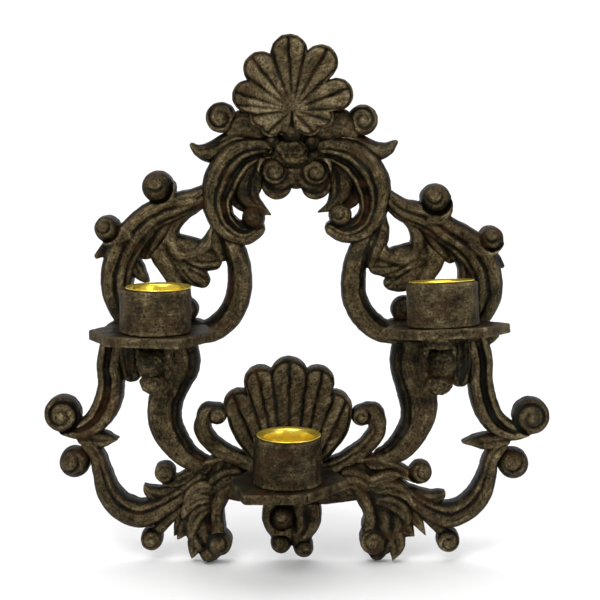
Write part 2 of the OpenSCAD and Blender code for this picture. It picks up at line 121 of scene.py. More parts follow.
# ---------------------------------------------------------------- strands: swept carved ribbons
SPINE_STEP = 0.9         # spacing of the samples along a ribbon, mm
THINNEST = 0.4           # smallest half width of a ribbon, mm


def spine(points):
    """A smooth curve through [x, z, half width] points: samples, unit tangents and distance along."""
    p = np.array(points, float)
    samples = []
    for i in range(len(p) - 1):
        a, b, c, d = p[max(i - 1, 0)], p[i], p[i + 1], p[min(i + 2, len(p) - 1)]
        count = max(2, int(np.hypot(c[0] - b[0], c[1] - b[1])/SPINE_STEP))
        for k in range(count):
            t = k/count
            bend, twist = 2*a - 5*b + 4*c - d, 3*b - a - 3*c + d
            samples.append(0.5*(2*b + (c - a)*t + bend*t*t + twist*t**3))
    samples = np.array(samples + [p[-1]])
    samples[:, 2] = np.maximum(samples[:, 2], THINNEST)
    tangent = np.gradient(samples[:, :2], axis=0)
    tangent /= np.maximum(np.linalg.norm(tangent, axis=1), 1e-6)[:, None]
    steps = np.linalg.norm(np.diff(samples[:, :2], axis=0), axis=1)
    return samples, tangent, np.concatenate([[0.0], np.cumsum(steps)])


def sweep(xx, zz, points):
    """Signed distance to a ribbon's outline, distance along it, place across it (-1 to 1), half width."""
    samples, tangent, run = spine(points)
    dist = np.full(xx.shape, FAR)
    along, across, half = np.zeros(xx.shape), np.zeros(xx.shape), np.ones(xx.shape)
    x0, z0 = xx[0, 0], zz[0, 0]
    for (px, pz, hw), (tx, tz), s in zip(samples, tangent, run):
        reach = hw + FAR
        i0, i1 = int((px - reach - x0)/PITCH), int((px + reach - x0)/PITCH) + 2
        k0, k1 = int((pz - reach - z0)/PITCH), int((pz + reach - z0)/PITCH) + 2
        if i1 <= 0 or k1 <= 0 or i0 >= xx.shape[0] or k0 >= xx.shape[1]:
            continue
        w = np.s_[max(i0, 0):i1, max(k0, 0):k1]
        dx, dz = xx[w] - px, zz[w] - pz
        d = np.sqrt(dx*dx + dz*dz) - hw
        nearer = d < dist[w]
        dist[w][nearer] = d[nearer]
        along[w][nearer] = (s + dx*tx + dz*tz)[nearer]
        across[w][nearer] = ((tx*dz - tz*dx)/hw)[nearer]
        half[w][nearer] = hw
    return dist, along, across, half


def section_shape(v, knots):
    """Height across a ribbon through (place, height) knots: rounded crests, sharp valleys.
    A knot with a third value is a soft valley."""
    out = np.full(v.shape, float(knots[0][1]))
    for (va, ha, *sa), (vb, hb, *sb) in zip(knots, knots[1:]):
        u = np.clip((v - va)/(vb - va), 0, 1)
        soft = sa if ha < hb else sb
        if soft:
            shape = (1 - np.cos(math.pi*u))/2
        elif ha < hb:
            shape = np.sin(math.pi*u/2)
        else:
            shape = 1 - np.cos(math.pi*u/2)
        out = np.where(v >= va, ha + (hb - ha)*shape, out)
    return out


# Cross-sections as (place, height in mm); on left-hand pieces +1 is to the left of the way the ribbon runs
PROFILES = {
    "plain": [(-1, 0), (1, 0)],
    "round": [(-1, -1.6), (0, 0), (1, -1.6)],
    "arch": [(-1, -2.2), (-0.62, 0), (-0.16, -0.8), (-0.08, -2.6), (0.14, -0.7), (0.3, -1.6),
             (0.46, -4.2, 1), (0.6, -3.4), (0.8, -0.5), (1, -1.8)],
    "arm": [(-1, -1.8), (-0.6, 0), (-0.16, -0.7), (-0.06, -2.3), (0.24, -0.1), (0.5, -0.7), (0.58, -2.4),
            (0.8, -0.6), (1, -2.2)],
    "blade": [(-1, -1.8), (-0.45, 0), (0.05, -0.9), (0.14, -2.4), (0.55, -0.4), (1, -2.0)],
    "cove": [(-1, -1.0), (-0.8, 0), (-0.52, -0.3), (-0.36, -2.8), (-0.08, -3.8, 1), (0.08, -2.4), (0.2, -0.6),
             (0.7, 0), (1, -1.8)],
    "stile": [(-1, -1.4), (-0.75, 0), (0.2, -0.25), (0.42, -1.0), (0.5, -2.6), (0.62, -1.9), (1, -4.4)],
    "sweep": [(-1, -4.4), (-0.6, -2.0), (-0.46, -2.6), (-0.38, -0.8), (0.7, 0), (1, -1.4)],
    "tongue": [(-1, -1.6), (-0.7, -0.3), (0, 0), (0.7, -0.3), (1, -1.6)],
    "split": [(-1, -1.2), (-0.45, 0), (0.08, -0.7), (0.2, -2.4), (0.6, -0.4), (1, -1.8)],
    "leaf": [(-1, -0.7), (-0.55, -0.1), (-0.04, -1.7), (0.04, -1.7), (0.55, -0.1), (1, -0.7)],
    "hollow": [(-1, 0), (-0.8, -0.2), (0, -2.4, 1), (0.8, -0.2), (1, 0)],
    "veined": [(-1, -1.0), (-0.66, 0), (-0.4, -0.7), (-0.34, -1.8), (0.0, -0.1), (0.36, -0.7), (0.42, -1.8),
               (0.72, -0.1), (1, -1.0)],
    "keel": [(-1, -2.4, 1), (-0.1, 0), (0.1, 0), (1, -2.4, 1)],
}
PROFILE_WIDTH = 11.0     # half width at which a cross-section has its full depth, mm
DEPTH = 1.25             # how deep the cross-sections are cut, as a share of the table's heights
OVERRUN = 1.5            # a part's face is worked out this far past its outline, mm
DISC_EDGE = 4.0          # width of the rounding round a disc, mm
BALL_BULK = 0.85         # height of a ball end's dome, as a share of its radius
VOLUTE_BULK = 0.62       # the same for a volute
EYE_R = 0.3              # radius of a volute's eye, as a share of its own
GROOVE_DEPTH, GROOVE_WIDTH = 1.6, 0.9
EDGE_SHARE, EDGE_WIDEST = 0.92, 7.5    # rounding along a ribbon: share of its half width, and limit in mm
KNOB_OFFSET = 0.3        # from a ball end's centre to its knob's, as a share of its radius
CHISEL_DEPTH, DENT_DEPTH, FINE_DEPTH, EDGE_WANDER = 0.2, 0.17, 0.09, 0.18   # tool marks, mm


class Relief:
    """The carved face of one section: its outline's signed distance and its height over the wall."""

    def __init__(self, node, thickness, seed):
        low, high = mm_box(node)
        self.node, self.thickness, self.seed = node, thickness, seed
        self.xx, self.zz = plane_grid((low[0], low[2]), (high[0], high[2]))
        self.mirror = -1.0 if node.endswith("_right") else 1.0
        self.outline = np.full(self.xx.shape, FAR)
        self.height = np.full(self.xx.shape, 0.4*thickness)
        self.along, self.across = self.xx.copy(), self.zz.copy()
        self.cut = np.zeros(self.xx.shape)          # how far the face is cut in below its proud parts, mm, with extra darkening added; it darkens the colour as dark stain and painted shade
        self.waver = ripple((self.xx, self.zz), 14.0, seed)

    def put(self, dist, height, along, across, where, cut):
        """Adds a part: its outline everywhere, and its face where it shows."""
        self.outline = np.minimum(self.outline, dist)
        self.height = np.where(where, height, self.height)
        self.cut = np.where(where, cut, self.cut)
        self.along = np.where(where, along, self.along)
        self.across = np.where(where, across, self.across)

    def proud(self, dist, height):
        """Where a new part shows in front of what is already there."""
        return (dist < OVERRUN) & (height > np.where(self.outline < OVERRUN, self.height, 0.0))

    def strand(self, profile, points, lift=0.0, drops=(0.0, 0.0), fade=18.0):
        """A carved ribbon; drops are how far its two ends sink, each over the fade length."""
        dist, along, v, half = sweep(self.xx, self.zz, points)
        length = spine(points)[2][-1]
        sink = drops[0]*np.clip(1 - along/fade, 0, 1)**1.6
        sink = sink + drops[1]*np.clip(1 - (length - along)/fade, 0, 1)**1.6
        width = np.minimum(EDGE_SHARE*half, EDGE_WIDEST)
        rounding = rolled_over(np.clip(1 + dist/width, 0, 1), 0.8*width)
        shape = section_shape(np.clip(self.mirror*v + 0.035*self.waver, -1, 1), PROFILES[profile])
        shape = DEPTH*shape*np.clip(half/PROFILE_WIDTH, 0.3, 1.15)
        height = self.thickness + lift - sink - rounding + shape
        # Painted shade and dark stain: the rolled-over edges and the valleys of the cross-section are
        # darkened.
        self.put(dist, height, along, v*half, self.proud(dist, height), 0.42*rounding - shape)

    def disc(self, x, z, r, height):
        d = np.hypot(self.xx - x, self.zz - z) - r
        h = height - rolled_over(np.clip(1 + d/DISC_EDGE, 0, 1), 0.8*DISC_EDGE)
        # Painted shade and dark stain: a disc's face is darkened all over.
        self.put(d, h, self.xx, self.zz, self.proud(d, h), 1.2)

    def ball(self, x, z, r, rise=1.0, knob=0.5, turn=120.0, crease=1.8, dark=1.3):
        """A domed ball end with a smaller, paler knob to one side of it inside a crescent-shaped groove."""
        dx, dz = (self.xx - x), (self.zz - z)
        rho = np.hypot(dx, dz)/r
        dome = np.sqrt(np.clip(1 - rho**2, 0, 1))
        h = self.thickness + rise - BALL_BULK*r + BALL_BULK*r*dome
        a = math.radians(turn if self.mirror > 0 else 180 - turn)
        knob_r = knob*r
        from_x = self.xx - (x + KNOB_OFFSET*r*math.cos(a))
        from_z = self.zz - (z + KNOB_OFFSET*r*math.sin(a))
        away = np.hypot(from_x, from_z)
        outward = from_x*math.cos(a) + from_z*math.sin(a)
        facing = np.clip(0.3 - 0.8*outward/np.maximum(away, 1e-6), 0, 1)
        groove = crease*np.exp(-((away - knob_r)/(0.07*r + 0.3))**2)*facing
        h = h - groove + 0.06*r*np.clip(1 - (away/knob_r)**2, 0, 1)
        # Painted shade and dark stain: the ball's colour is darkened in its groove, towards its rim, away
        # from its knob and all over, most on balls set deep in the carving.
        cut = groove + 2.0*np.clip((rho - 0.75)/0.25, 0, 1) + dark*np.clip(away/knob_r - 0.55, 0, 1)
        cut = cut + 0.35*dark + 1.5*max(dark - 2.0, 0.0)
        self.put((rho - 1)*r, h, r*np.arctan2(dz, dx), rho*r, rho < 1.02, cut)

    def volute(self, x, z, r, rise=1.0, turns=1.3, start=-60.0, crease=2.0, hand=1.0, dark=0.3):
        """A scroll end: a groove winds in from the rim to a round eye."""
        dx, dz = self.mirror*hand*(self.xx - x), self.zz - z
        rho = np.hypot(dx, dz)/r
        phi = np.mod(np.arctan2(dz, dx) - math.radians(start), 2*math.pi)
        dome = np.sqrt(np.clip(1 - rho**2, 0, 1))
        h = self.thickness + rise - VOLUTE_BULK*r + VOLUTE_BULK*r*dome
        # Painted shade and dark stain: the volute's colour is darkened all over, towards its rim and along
        # its winding groove.
        cut = dark + 2.2*np.clip((rho - 0.76)/0.24, 0, 1)
        for lap in range(int(math.ceil(turns)) + 1):
            wound = (phi + 2*math.pi*lap)/(2*math.pi*turns)
            groove_at = 0.93 - 0.63*wound
            near = np.exp(-(((rho - groove_at)*r)/(0.07*r + 0.4))**2)
            worked = crease*near*((wound <= 1.0)*np.clip(1.25 - wound, 0.35, 1))
            h = h - worked
            cut = cut + worked
        h = h + 0.12*r*np.clip(1 - (rho/EYE_R)**2, 0, 1)
        self.put((rho - 1)*r, h, r*phi, rho*r, rho < 1.02, cut)

    def groove(self, points):
        """A line cut into the face through (x, z) points."""
        dist, _, _, half = sweep(self.xx, self.zz, [[x, z, THINNEST] for x, z in points])
        gap = np.maximum(dist + half, 0)
        worked = GROOVE_DEPTH*np.exp(-(gap/GROOVE_WIDTH)**2)
        self.height = self.height - worked
        # Painted shade and dark stain: a groove darkens the colour as deep as it is cut.
        self.cut = self.cut + worked

    def cut_beside(self, others):
        """Ends this section a little way inside each neighbour's outline, where it is hidden."""
        for other in others:
            self.outline = np.maximum(self.outline, -(outline_distance(self.xx, self.zz, other) + TUCK))

    def weather(self):
        """Tool marks, small waves and dents over the whole face."""
        chisel = ripple((self.along/2.6, self.across), 3.2, self.seed + 11)
        dents = ripple((self.xx, self.zz), 5.0, self.seed + 23)
        fine = ripple((self.xx, self.zz), 2.3, self.seed + 31)
        self.height = self.height + CHISEL_DEPTH*chisel + DENT_DEPTH*dents + FINE_DEPTH*fine
        self.outline = self.outline + EDGE_WANDER*ripple((self.xx, self.zz), 9.0, self.seed + 41)


def mm_box(node):
    low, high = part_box(node)
    return np.array(low)/MM, np.array(high)/MM


# ---------------------------------------------------------------- shells
SHELL_EDGE = 4.2         # width and drop of the step from a shell's flutes down to its lip, mm
SHELL_HUB_R = 9          # radius of the round patch a shell's lobes grow from, mm


class Shell:
    """A scallop: a hub, lobes as (direction, reach, half width), and grooves that fan out from a focus."""

    def __init__(self, hub, lobes, focus, grooves, face, lip, skirts=()):
        self.hub, self.lobes, self.face, self.lip = hub, lobes, face, lip
        self.focus, self.grooves, self.skirts = focus, grooves, skirts

    def distance(self, xx, zz):
        hx, hz = self.hub
        dist = np.hypot(xx - hx, zz - hz) - SHELL_HUB_R
        for direction, reach, half in self.lobes:
            a = math.radians(direction)
            tip = [hx + (reach - half)*math.cos(a), hz + (reach - half)*math.sin(a), half]
            dist = np.minimum(dist, sweep(xx, zz, [[hx, hz, 3], tip])[0])
        for points in self.skirts:
            dist = np.minimum(dist, sweep(xx, zz, points)[0])
        return dist

    def rim(self, angle):
        """Distance from the hub to the scalloped rim in each direction."""
        reach_there = np.full(angle.shape, float(SHELL_HUB_R))
        for direction, reach, half in self.lobes:
            off = np.radians(np.mod(angle - direction + 180, 360) - 180)
            arm = reach - half
            rest = half**2 - (arm*np.sin(off))**2
            tip = arm*np.cos(off) + np.sqrt(np.maximum(rest, 0))
            beside = (rest > -25) & (np.abs(off) < 1.2)
            reach_there = np.where(beside, np.maximum(reach_there, tip), reach_there)
        return reach_there

    def carve(self, rel):
        outline = self.distance(rel.xx, rel.zz)
        dx, dz = rel.xx - self.hub[0], rel.zz - self.hub[1]
        rho = np.hypot(dx, dz)
        angle = np.degrees(np.arctan2(dz, dx))
        inward = 0.85*(self.rim(angle) - rho)
        for points in self.skirts:
            inward = np.maximum(inward, -sweep(rel.xx, rel.zz, points)[0])
        dx, dz = rel.xx - self.focus[0], rel.zz - self.focus[1]
        reach = np.hypot(dx, dz)
        wander = 0.6*rel.waver*np.clip(rho/40, 0, 1)*rho/np.maximum(reach, 1.0)
        angle = np.degrees(np.arctan2(dz, dx)) + wander
        first = self.grooves[0]
        angle = np.mod(angle - first, 360) + first
        h = np.full(rho.shape, self.face - 3.0)
        # Painted shade and dark stain: the shell's colour is darkened outside and between its flutes, over
        # its rounding and on its lip.
        cut = np.full(rho.shape, 3.0)
        for a, b in zip(self.grooves, self.grooves[1:]):
            u = np.clip((angle - a)/(b - a), 0, 1)
            wide = reach*math.radians(b - a)
            bulge = np.minimum(0.24*wide, 3.0)
            line = np.minimum(u, 1 - u)*wide
            sunk = bulge*np.abs(2*u - 1)**2.6 + np.minimum(0.14*wide, 1.3)*np.exp(-(line/0.55)**2)
            flute = (angle >= a) & (angle <= b)
            h = np.where(flute, self.face - sunk, h)
            cut = np.where(flute, np.maximum(sunk - 0.6*bulge, 0), cut)
        hub = 3.2*np.clip(1 - rho/20, 0, 1)**1.5
        inset = np.clip((inward - self.lip)/SHELL_EDGE, 0, 1)
        rounding = rolled_over(1 - inset, 0.75*SHELL_EDGE)
        h = np.where(inward < self.lip, self.face - SHELL_EDGE, h - hub - rounding)
        cut = np.where(inward < self.lip, 0.5, cut + 0.1*hub + 0.3*rounding)
        # Painted shade: a dark line along the step down to the lip.
        cut = cut + 1.6*np.exp(-((inward - self.lip)/0.6)**2)
        rel.put(outline, h, reach, reach*np.radians(angle), outline < OVERRUN, cut)


CREST_SHELL = Shell(
    hub=(-2, 23),
    lobes=[(93, 60, 15), (59, 58, 14), (19, 51, 13), (-12, 34, 9), (-40, 27, 9), (-66, 20, 7),
           (128, 55, 14), (163, 50, 13), (191, 35, 9), (216, 30, 9), (241, 22, 8)],
    focus=(-2, 23),
    grooves=[-88, -46, -15, 1, 21, 43, 60, 78, 93, 110, 128, 144, 163, 175, 187, 222, 262],
    face=28.0, lip=2.2)
LOWER_SHELL = Shell(
    hub=(-5, -268),
    lobes=[(90, 87, 16), (70, 84, 14), (50, 73, 13), (110, 84, 14), (132, 76, 13)],
    focus=(-5, -318),
    grooves=[56, 64.5, 70.5, 77.5, 83, 90, 96.5, 102, 107, 114, 124],
    face=18.0, lip=2.6,
    skirts=[[[-46, -224, 12], [-41, -240, 13], [-29.5, -258, 12.5]],
            [[36, -224, 12], [32, -240, 13], [19, -258, 12.5]]])
SHELLS = {"crest_shell": CREST_SHELL, "lower_shell": LOWER_SHELL}


# ---------------------------------------------------------------- the carved sections
SCROLL, ARM, LEAF, GROUND, SEAT = 18.0, 23.0, 15.0, 16.0, 18.0   # thicknesses, mm
ROSETTE_X, ROSETTE_Z, ROSETTE_R = -3, -10, 15.5


# Thickness in mm, tone, and the neighbours that lie over its edges; * stands for left or right. The shadow
# tone is painted shade: a darker copy of the wood for sections that lie in shade.
LAYERS = {
    "crest_shell": (28.0, "carved", ["crest_rosette"]),
    "crest_ground": (GROUND, "carved", []),
    "crest_bud": (SCROLL, "carved", ["crest_ground"]),
    "crest_wing": (LEAF, "carved", ["crest_ground", "crest_bud_*", "arch_*"]),
    "crest_pendant": (ARM, "carved", ["crest_ground"]),
    "arch": (ARM, "carved", ["crest_pendant"]),
    "arch_leaf": (LEAF, "shadow", ["crest_pendant", "arch_*"]),
    "upper_arm": (ARM, "carved", ["arch_*"]),
    "fan_leaf": (LEAF, "carved", ["arch_*", "upper_arm_*", "c_scroll_*"]),
    "scroll_bud": (LEAF, "shadow", ["shelf_seat_*"]),
    "c_scroll": (SCROLL, "carved", ["arch_*", "shelf_seat_*"]),
    "shelf_seat": (SEAT, "shadow", []),
    "inner_stile": (SCROLL, "carved", ["shelf_seat_*", "foot_leaf_*", "hook_leaf_*", "base_rail"]),
    "outer_stile": (SCROLL, "carved", ["shelf_seat_*"]),
    "side_ball": (SCROLL, "carved", ["outer_stile_*", "lower_scroll_*"]),
    "lower_scroll": (SCROLL, "carved", ["outer_stile_*", "foot_leaf_*"]),
    "hook_leaf": (LEAF, "carved", ["foot_leaf_*", "lower_scroll_*", "shell_hook_*", "base_rail"]),
    "foot_leaf": (ARM, "carved", []),
    "base_rail": (SEAT, "shadow", []),
    "lower_shell": (18.0, "carved", ["base_rail"]),
    "centre_drop": (ARM, "carved", ["base_rail"]),
    "shell_hook": (LEAF, "carved", ["lower_shell", "base_rail", "foot_leaf_*"]),
}
TONE_SHIFT = {"crest_shell": 0.12, "fan_leaf_left": 0.1, "fan_leaf_right": 0.08}   # colour made lighter on these pieces


def layer(node):
    """A section's row of LAYERS, with its own side filled in."""
    base, _, side = node.rpartition("_")
    thickness, tone, others = LAYERS[base if side in ("left", "right") else node]
    return thickness, tone, [other.replace("*", side) for other in others]


def section(lines=(), discs=(), balls=(), volutes=(), grooves=()):
    return dict(lines=lines, discs=discs, balls=balls, volutes=volutes, grooves=grooves)


def line(profile, points, **shape):
    """A ribbon: its cross-section, its [x, z, half width] points and how it is carved."""
    return profile, points, shape


def roundel(x, z, r, **shape):
    """A ball or a volute: its centre, its radius and how it is carved."""
    return x, z, r, shape


SECTIONS = {
    "crest_shell": section(),
    "crest_ground": section(
        lines=[
            line("round", [[-10, 10, 16], [-28, 10, 14.5], [-41, 11, 13], [-50, 6, 6]]),
            line("round", [[8, 10, 16], [26, 10, 14.5], [37, 11, 13], [46, 5, 6]])],
        discs=[(0, -5, 22, 14), (-2, 23, 33, 15), (-21, -12, 8, 15), (19, -12, 8, 15)],
        balls=[
            roundel(-3, 4, 8, rise=11.0, crease=0.3, dark=3.5),
            roundel(-18, -2, 6.5, rise=6.0, crease=0.3, dark=3.5),
            roundel(14, -3, 6.5, rise=6.0, crease=0.3, dark=3.5)]),
    "crest_bud_left": section(volutes=[roundel(-60, 17, 12.5, rise=3.5, start=20, crease=3.0)]),
    "crest_bud_right": section(volutes=[roundel(55, 15, 12.5, rise=3.5, start=-40, crease=3.0)]),
    "crest_wing_left": section(
        lines=[
            line("keel", [[-32, 2, 11], [-51, -3, 10], [-67, -11, 9], [-78, -10, 5], [-84, -5.5, 2.2]],
                 drops=(0, 4))],
        grooves=[[(-40, -4), (-56, -9), (-68, -17)], [(-42, 6), (-56, -1), (-70, -8), (-80, -9)]]),
    "crest_wing_right": section(
        lines=[
            line("keel", [[28, 4, 11], [46, -4, 11], [62, -10, 9], [74, -9, 6], [82, -3, 2.2]],
                 drops=(0, 4))],
        grooves=[[(36, -3), (50, -8), (60, -13)], [(40, 6), (54, 2), (62, -1), (66, -6)]]),
    "crest_pendant": section(
        lines=[
            line("round", [[-18, -7, 3], [-25, -14, 4.5], [-28, -24, 3]], lift=1.0),
            line("round", [[13, -7, 3], [23, -14, 4.5], [27, -24, 3]], lift=1.0)],
        discs=[
            (-15, -37, 12.5, 15), (17, -37, 12.5, 15), (-11, -27, 14, 17), (13, -27, 14, 17),
            (1, -33, 8, 15)],
        volutes=[
            roundel(-17, -26, 11, rise=0.0, turns=1.1, start=80, hand=-1, crease=2.8, dark=1.0),
            roundel(16.5, -26.5, 11, rise=0.0, turns=1.1, start=80, hand=-1, crease=2.8, dark=1.0)],
        grooves=[
            [(-26, -30), (-22, -39), (-13, -43), (-3, -38)], [(28, -32), (24, -41), (14, -44), (5, -39)]]),
    "arch_left": section(
        lines=[
            line("arch", [[-16, -10, 7], [-32, -9, 10], [-48, -16, 14], [-59, -32, 15], [-64, -50, 12.5],
                 [-60, -66, 10.5], [-51, -76, 9], [-40, -79, 7.5], [-31, -74, 6.5]], drops=(5, 2)),
            line("hollow", [[-57, -60, 5], [-51, -70, 6], [-42, -74, 6]], lift=-4)],
        balls=[roundel(-34, -64, 9.5, crease=0.6, dark=2.3)]),
    "arch_right": section(
        lines=[
            line("arch", [[14, -10, 7], [30, -9, 10], [49, -16, 14], [62, -33, 15], [65, -51, 12.5],
                 [61, -66, 10.5], [52, -75, 9], [40, -77, 7.5], [31, -73, 6.5]], drops=(5, 2)),
            line("hollow", [[58, -60, 5], [52, -69, 6], [43, -73, 6]], lift=-4)],
        balls=[roundel(37, -62, 9.5, crease=1.6, turn=60)]),
    "arch_leaf_left": section(
        lines=[
            line("split", [[-27, -17, 6.5], [-36, -27, 10], [-40, -40, 10.5], [-37, -50, 8], [-29, -57, 5],
                 [-20, -62, 0.5]], drops=(0, 3)),
            line("hollow", [[-44, -36, 8], [-47, -46, 7], [-46, -51, 6.5], [-40, -55, 6]], lift=-4),
            line("round", [[-30, -22, 5], [-30, -32, 5], [-31, -42, 3]], lift=-1)]),
    "arch_leaf_right": section(
        lines=[
            line("split", [[22, -17, 6.5], [35, -25, 10], [38, -38, 10.5], [35, -48, 7.5], [29, -55, 4],
                 [19, -60, 0.5]], drops=(0, 3)),
            line("hollow", [[44, -36, 8], [48, -45, 7], [47, -50, 6], [40, -54, 6]], lift=-4)]),
    "upper_arm_left": section(
        lines=[
            line("arm", [[-64, -38, 5.5], [-81, -49, 9], [-100, -56, 11.5], [-119, -65, 12.5],
                 [-134, -81, 14], [-144, -101, 14], [-147, -120, 13], [-144, -136, 11.5],
                 [-137, -150, 10.5], [-134, -156, 10]], drops=(8, 6), fade=30),
            line("leaf", [[-143, -82, 6.5], [-155, -90, 5.5], [-163, -96, 2.5]], lift=-8, drops=(0, 3)),
            line("round", [[-84, -50, 3], [-94, -51, 4.5], [-101, -46, 4.5], [-101, -38, 3.5],
                 [-106, -33, 2.5]], lift=1),
            line("round", [[-136, -78, 4.5], [-144, -82, 5], [-150, -83, 4.5], [-157, -80, 3]]),
            line("blade", [[-134, -82, 7], [-135, -97, 7], [-130, -107, 6], [-125, -114, 3.5],
                 [-121, -118, 0.5]], lift=-4, drops=(0, 5)),
            line("blade", [[-98, -60, 6], [-112, -72, 10], [-120, -84, 11], [-123, -92, 7]], lift=-2,
                 drops=(6, 4))],
        balls=[roundel(-112, -39, 13, rise=1.5, turn=110), roundel(-154, -73, 10.5, rise=0.5, turn=130)]),
    "upper_arm_right": section(
        lines=[
            line("arm", [[71, -43, 5.5], [87, -57, 9], [106, -64, 11.5], [125, -76, 12.5], [144, -89, 14],
                 [155, -107, 14], [158, -126, 13], [154, -140, 11.5], [148, -151, 10.5], [145, -156, 10]],
                 drops=(8, 6), fade=30),
            line("leaf", [[152, -92, 6.5], [163, -97, 5.5], [171, -104, 2]], lift=-8, drops=(0, 3)),
            line("round", [[110, -66, 4], [119, -65, 5], [124, -57, 4.5], [124, -49, 3.5], [119, -42, 2.5]],
                 lift=1),
            line("round", [[144, -86, 4.5], [153, -92, 5], [161, -91, 4.5], [168, -85, 3]]),
            line("blade", [[137, -92, 8], [142, -105, 8], [141, -117, 6.5], [138, -129, 5]], lift=-4,
                 drops=(0, 5)),
            line("blade", [[104, -66, 6], [115, -78, 10], [124, -89, 10], [128, -96, 6]], lift=-2,
                 drops=(6, 4))],
        balls=[roundel(115, -49, 12.5, turn=60), roundel(161, -81, 10, rise=0.5, turn=80)]),
    "fan_leaf_left": section(
        lines=[
            line("tongue", [[-102, -59, 7.5], [-111, -76, 10], [-112, -92, 9], [-106, -105, 7.5],
                 [-98, -119, 6.5], [-92, -134, 6.5]], lift=1, drops=(0, 4)),
            line("tongue", [[-97, -90, 12], [-80, -96, 13], [-68, -101, 7.5]], drops=(0, 3)),
            line("tongue", [[-97, -96, 11], [-87, -108, 12], [-77, -117, 6.5]], lift=-1.5, drops=(0, 3)),
            line("round", [[-76, -53, 4], [-92, -63, 5], [-101, -74, 6], [-101, -86, 7], [-93, -95, 6.5],
                 [-80, -92, 5.5], [-70, -83, 6], [-64, -74, 6]], lift=1.5)],
        grooves=[
            [(-62, -99), (-72, -101), (-82, -100)], [(-64, -105), (-74, -107), (-84, -104), (-92, -99)],
            [(-72, -118), (-78, -112), (-87, -107)], [(-80, -121), (-86, -116), (-92, -108)]]),
    "fan_leaf_right": section(
        lines=[
            line("tongue", [[106, -69, 7.5], [116, -86, 10], [114, -101, 9], [109, -112, 7.5],
                 [106, -125, 6.5], [101, -136, 6.5]], lift=1, drops=(0, 4)),
            line("tongue", [[100, -96, 12], [83, -102, 13], [68, -105, 7.5]], drops=(0, 3)),
            line("tongue", [[104, -101, 11], [90, -114, 12], [80, -119, 6.5]], lift=-1.5, drops=(0, 3)),
            line("round", [[80, -57, 4], [95, -68, 5], [101, -80, 6], [99, -92, 6.5], [90, -99, 6],
                 [78, -97, 5.5], [68, -88, 7], [62, -76, 7]], lift=1.5)],
        grooves=[
            [(64, -104), (74, -105), (84, -103)], [(72, -112), (82, -109), (92, -103)],
            [(76, -121), (84, -115), (94, -108)]]),
    "scroll_bud_left": section(balls=[roundel(-90, -141, 10, rise=2.0, crease=0.8)]),
    "scroll_bud_right": section(balls=[roundel(91, -141, 11.5, rise=2.0, crease=0.8)]),
    "c_scroll_left": section(
        lines=[
            line("sweep", [[-60, -72, 8], [-50, -91, 9], [-46, -109, 10], [-47, -128, 10.5],
                 [-54, -145, 10.5], [-67, -157, 10], [-80, -161, 8.5]], drops=(4, 0)),
            line("split", [[-64, -74, 6.5], [-62, -85, 9], [-60, -96, 5]], lift=-2, drops=(3, 3))]),
    "c_scroll_right": section(
        lines=[
            line("sweep", [[61, -73, 8], [53, -92, 9], [49, -109, 10], [49, -129, 10.5], [56, -145, 10.5],
                 [69, -157, 10], [82, -161, 8.5]], drops=(4, 0)),
            line("split", [[70, -66, 6], [70, -77, 8], [66, -88, 9], [62, -101, 6]], lift=-2,
                 drops=(3, 3))]),
    "shelf_seat_left": section(
        lines=[
            line("plain", [[-146, -159, 10], [-82, -159, 10]]),
            line("leaf", [[-137, -164, 10], [-138, -179, 9.5], [-137, -194, 8.5]], drops=(0, 3))],
        grooves=[[(-134, -168), (-132, -180), (-134, -192)], [(-142, -170), (-141, -184), (-139, -196)]]),
    "shelf_seat_right": section(
        lines=[
            line("plain", [[146, -159, 10], [82, -159, 10]]),
            line("leaf", [[138, -164, 10], [139, -182, 9.5], [138, -198, 8.5]], drops=(0, 3))],
        grooves=[[(134, -168), (133, -182), (135, -196)], [(143, -170), (143, -186), (140, -200)]]),
    "inner_stile_left": section(
        lines=[
            line("stile", [[-98, -172, 16], [-96, -187, 16.5], [-103, -204, 15], [-109, -220, 14.5],
                 [-109, -238, 14], [-102, -253, 12.5], [-91, -266, 10], [-75, -275, 7.5]], drops=(0, 5))]),
    "inner_stile_right": section(
        lines=[
            line("stile", [[97, -172, 16], [96, -187, 16.5], [102, -210, 16.5], [104, -227, 15],
                 [100, -242, 13], [91, -256, 11.5], [80, -265, 9], [73, -267, 7]], drops=(0, 5))]),
    "outer_stile_left": section(
        lines=[
            line("cove", [[-150, -162, 10.5], [-155, -186, 10.5], [-154, -204, 11], [-158, -221, 11.5],
                 [-167, -235, 10], [-180, -243, 8], [-192, -241, 7]]),
            line("leaf", [[-177, -250, 6.5], [-164, -251, 7.5], [-156, -251, 4], [-149, -251, 0.5]],
                 lift=-2, drops=(0, 4))],
        volutes=[roundel(-195, -229, 15.5, rise=3.0, turns=1.35, start=-70, crease=3.2)]),
    "outer_stile_right": section(
        lines=[
            line("cove", [[148, -160, 10.5], [154, -181, 10.5], [155, -201, 10.5], [159, -220, 11],
                 [167, -235, 10], [181, -244, 8], [193, -242, 7]]),
            line("leaf", [[175, -251, 6.5], [163, -253, 7.5], [150, -253, 4], [141, -254, 0.5]], lift=-2,
                 drops=(0, 4)),
            line("leaf", [[152, -166, 7], [160, -165, 5.5], [167, -162, 2.5]], lift=-3)],
        volutes=[roundel(198, -231, 15.5, rise=3.0, turns=1.35, start=-70, crease=3.2)]),
    "side_ball_left": section(balls=[roundel(-186, -271, 13, rise=2.5, knob=0.6, turn=150)]),
    "side_ball_right": section(balls=[roundel(184, -272, 13, rise=2.5, knob=0.6, turn=60)]),
    "lower_scroll_left": section(
        lines=[
            line("split", [[-174, -256, 6.5], [-167, -265, 6.5], [-163, -280, 8], [-158, -297, 10],
                 [-147, -310, 11.5], [-131, -316, 12], [-114, -310, 10], [-95, -298, 8], [-79, -285, 7]],
                 drops=(4, 0)),
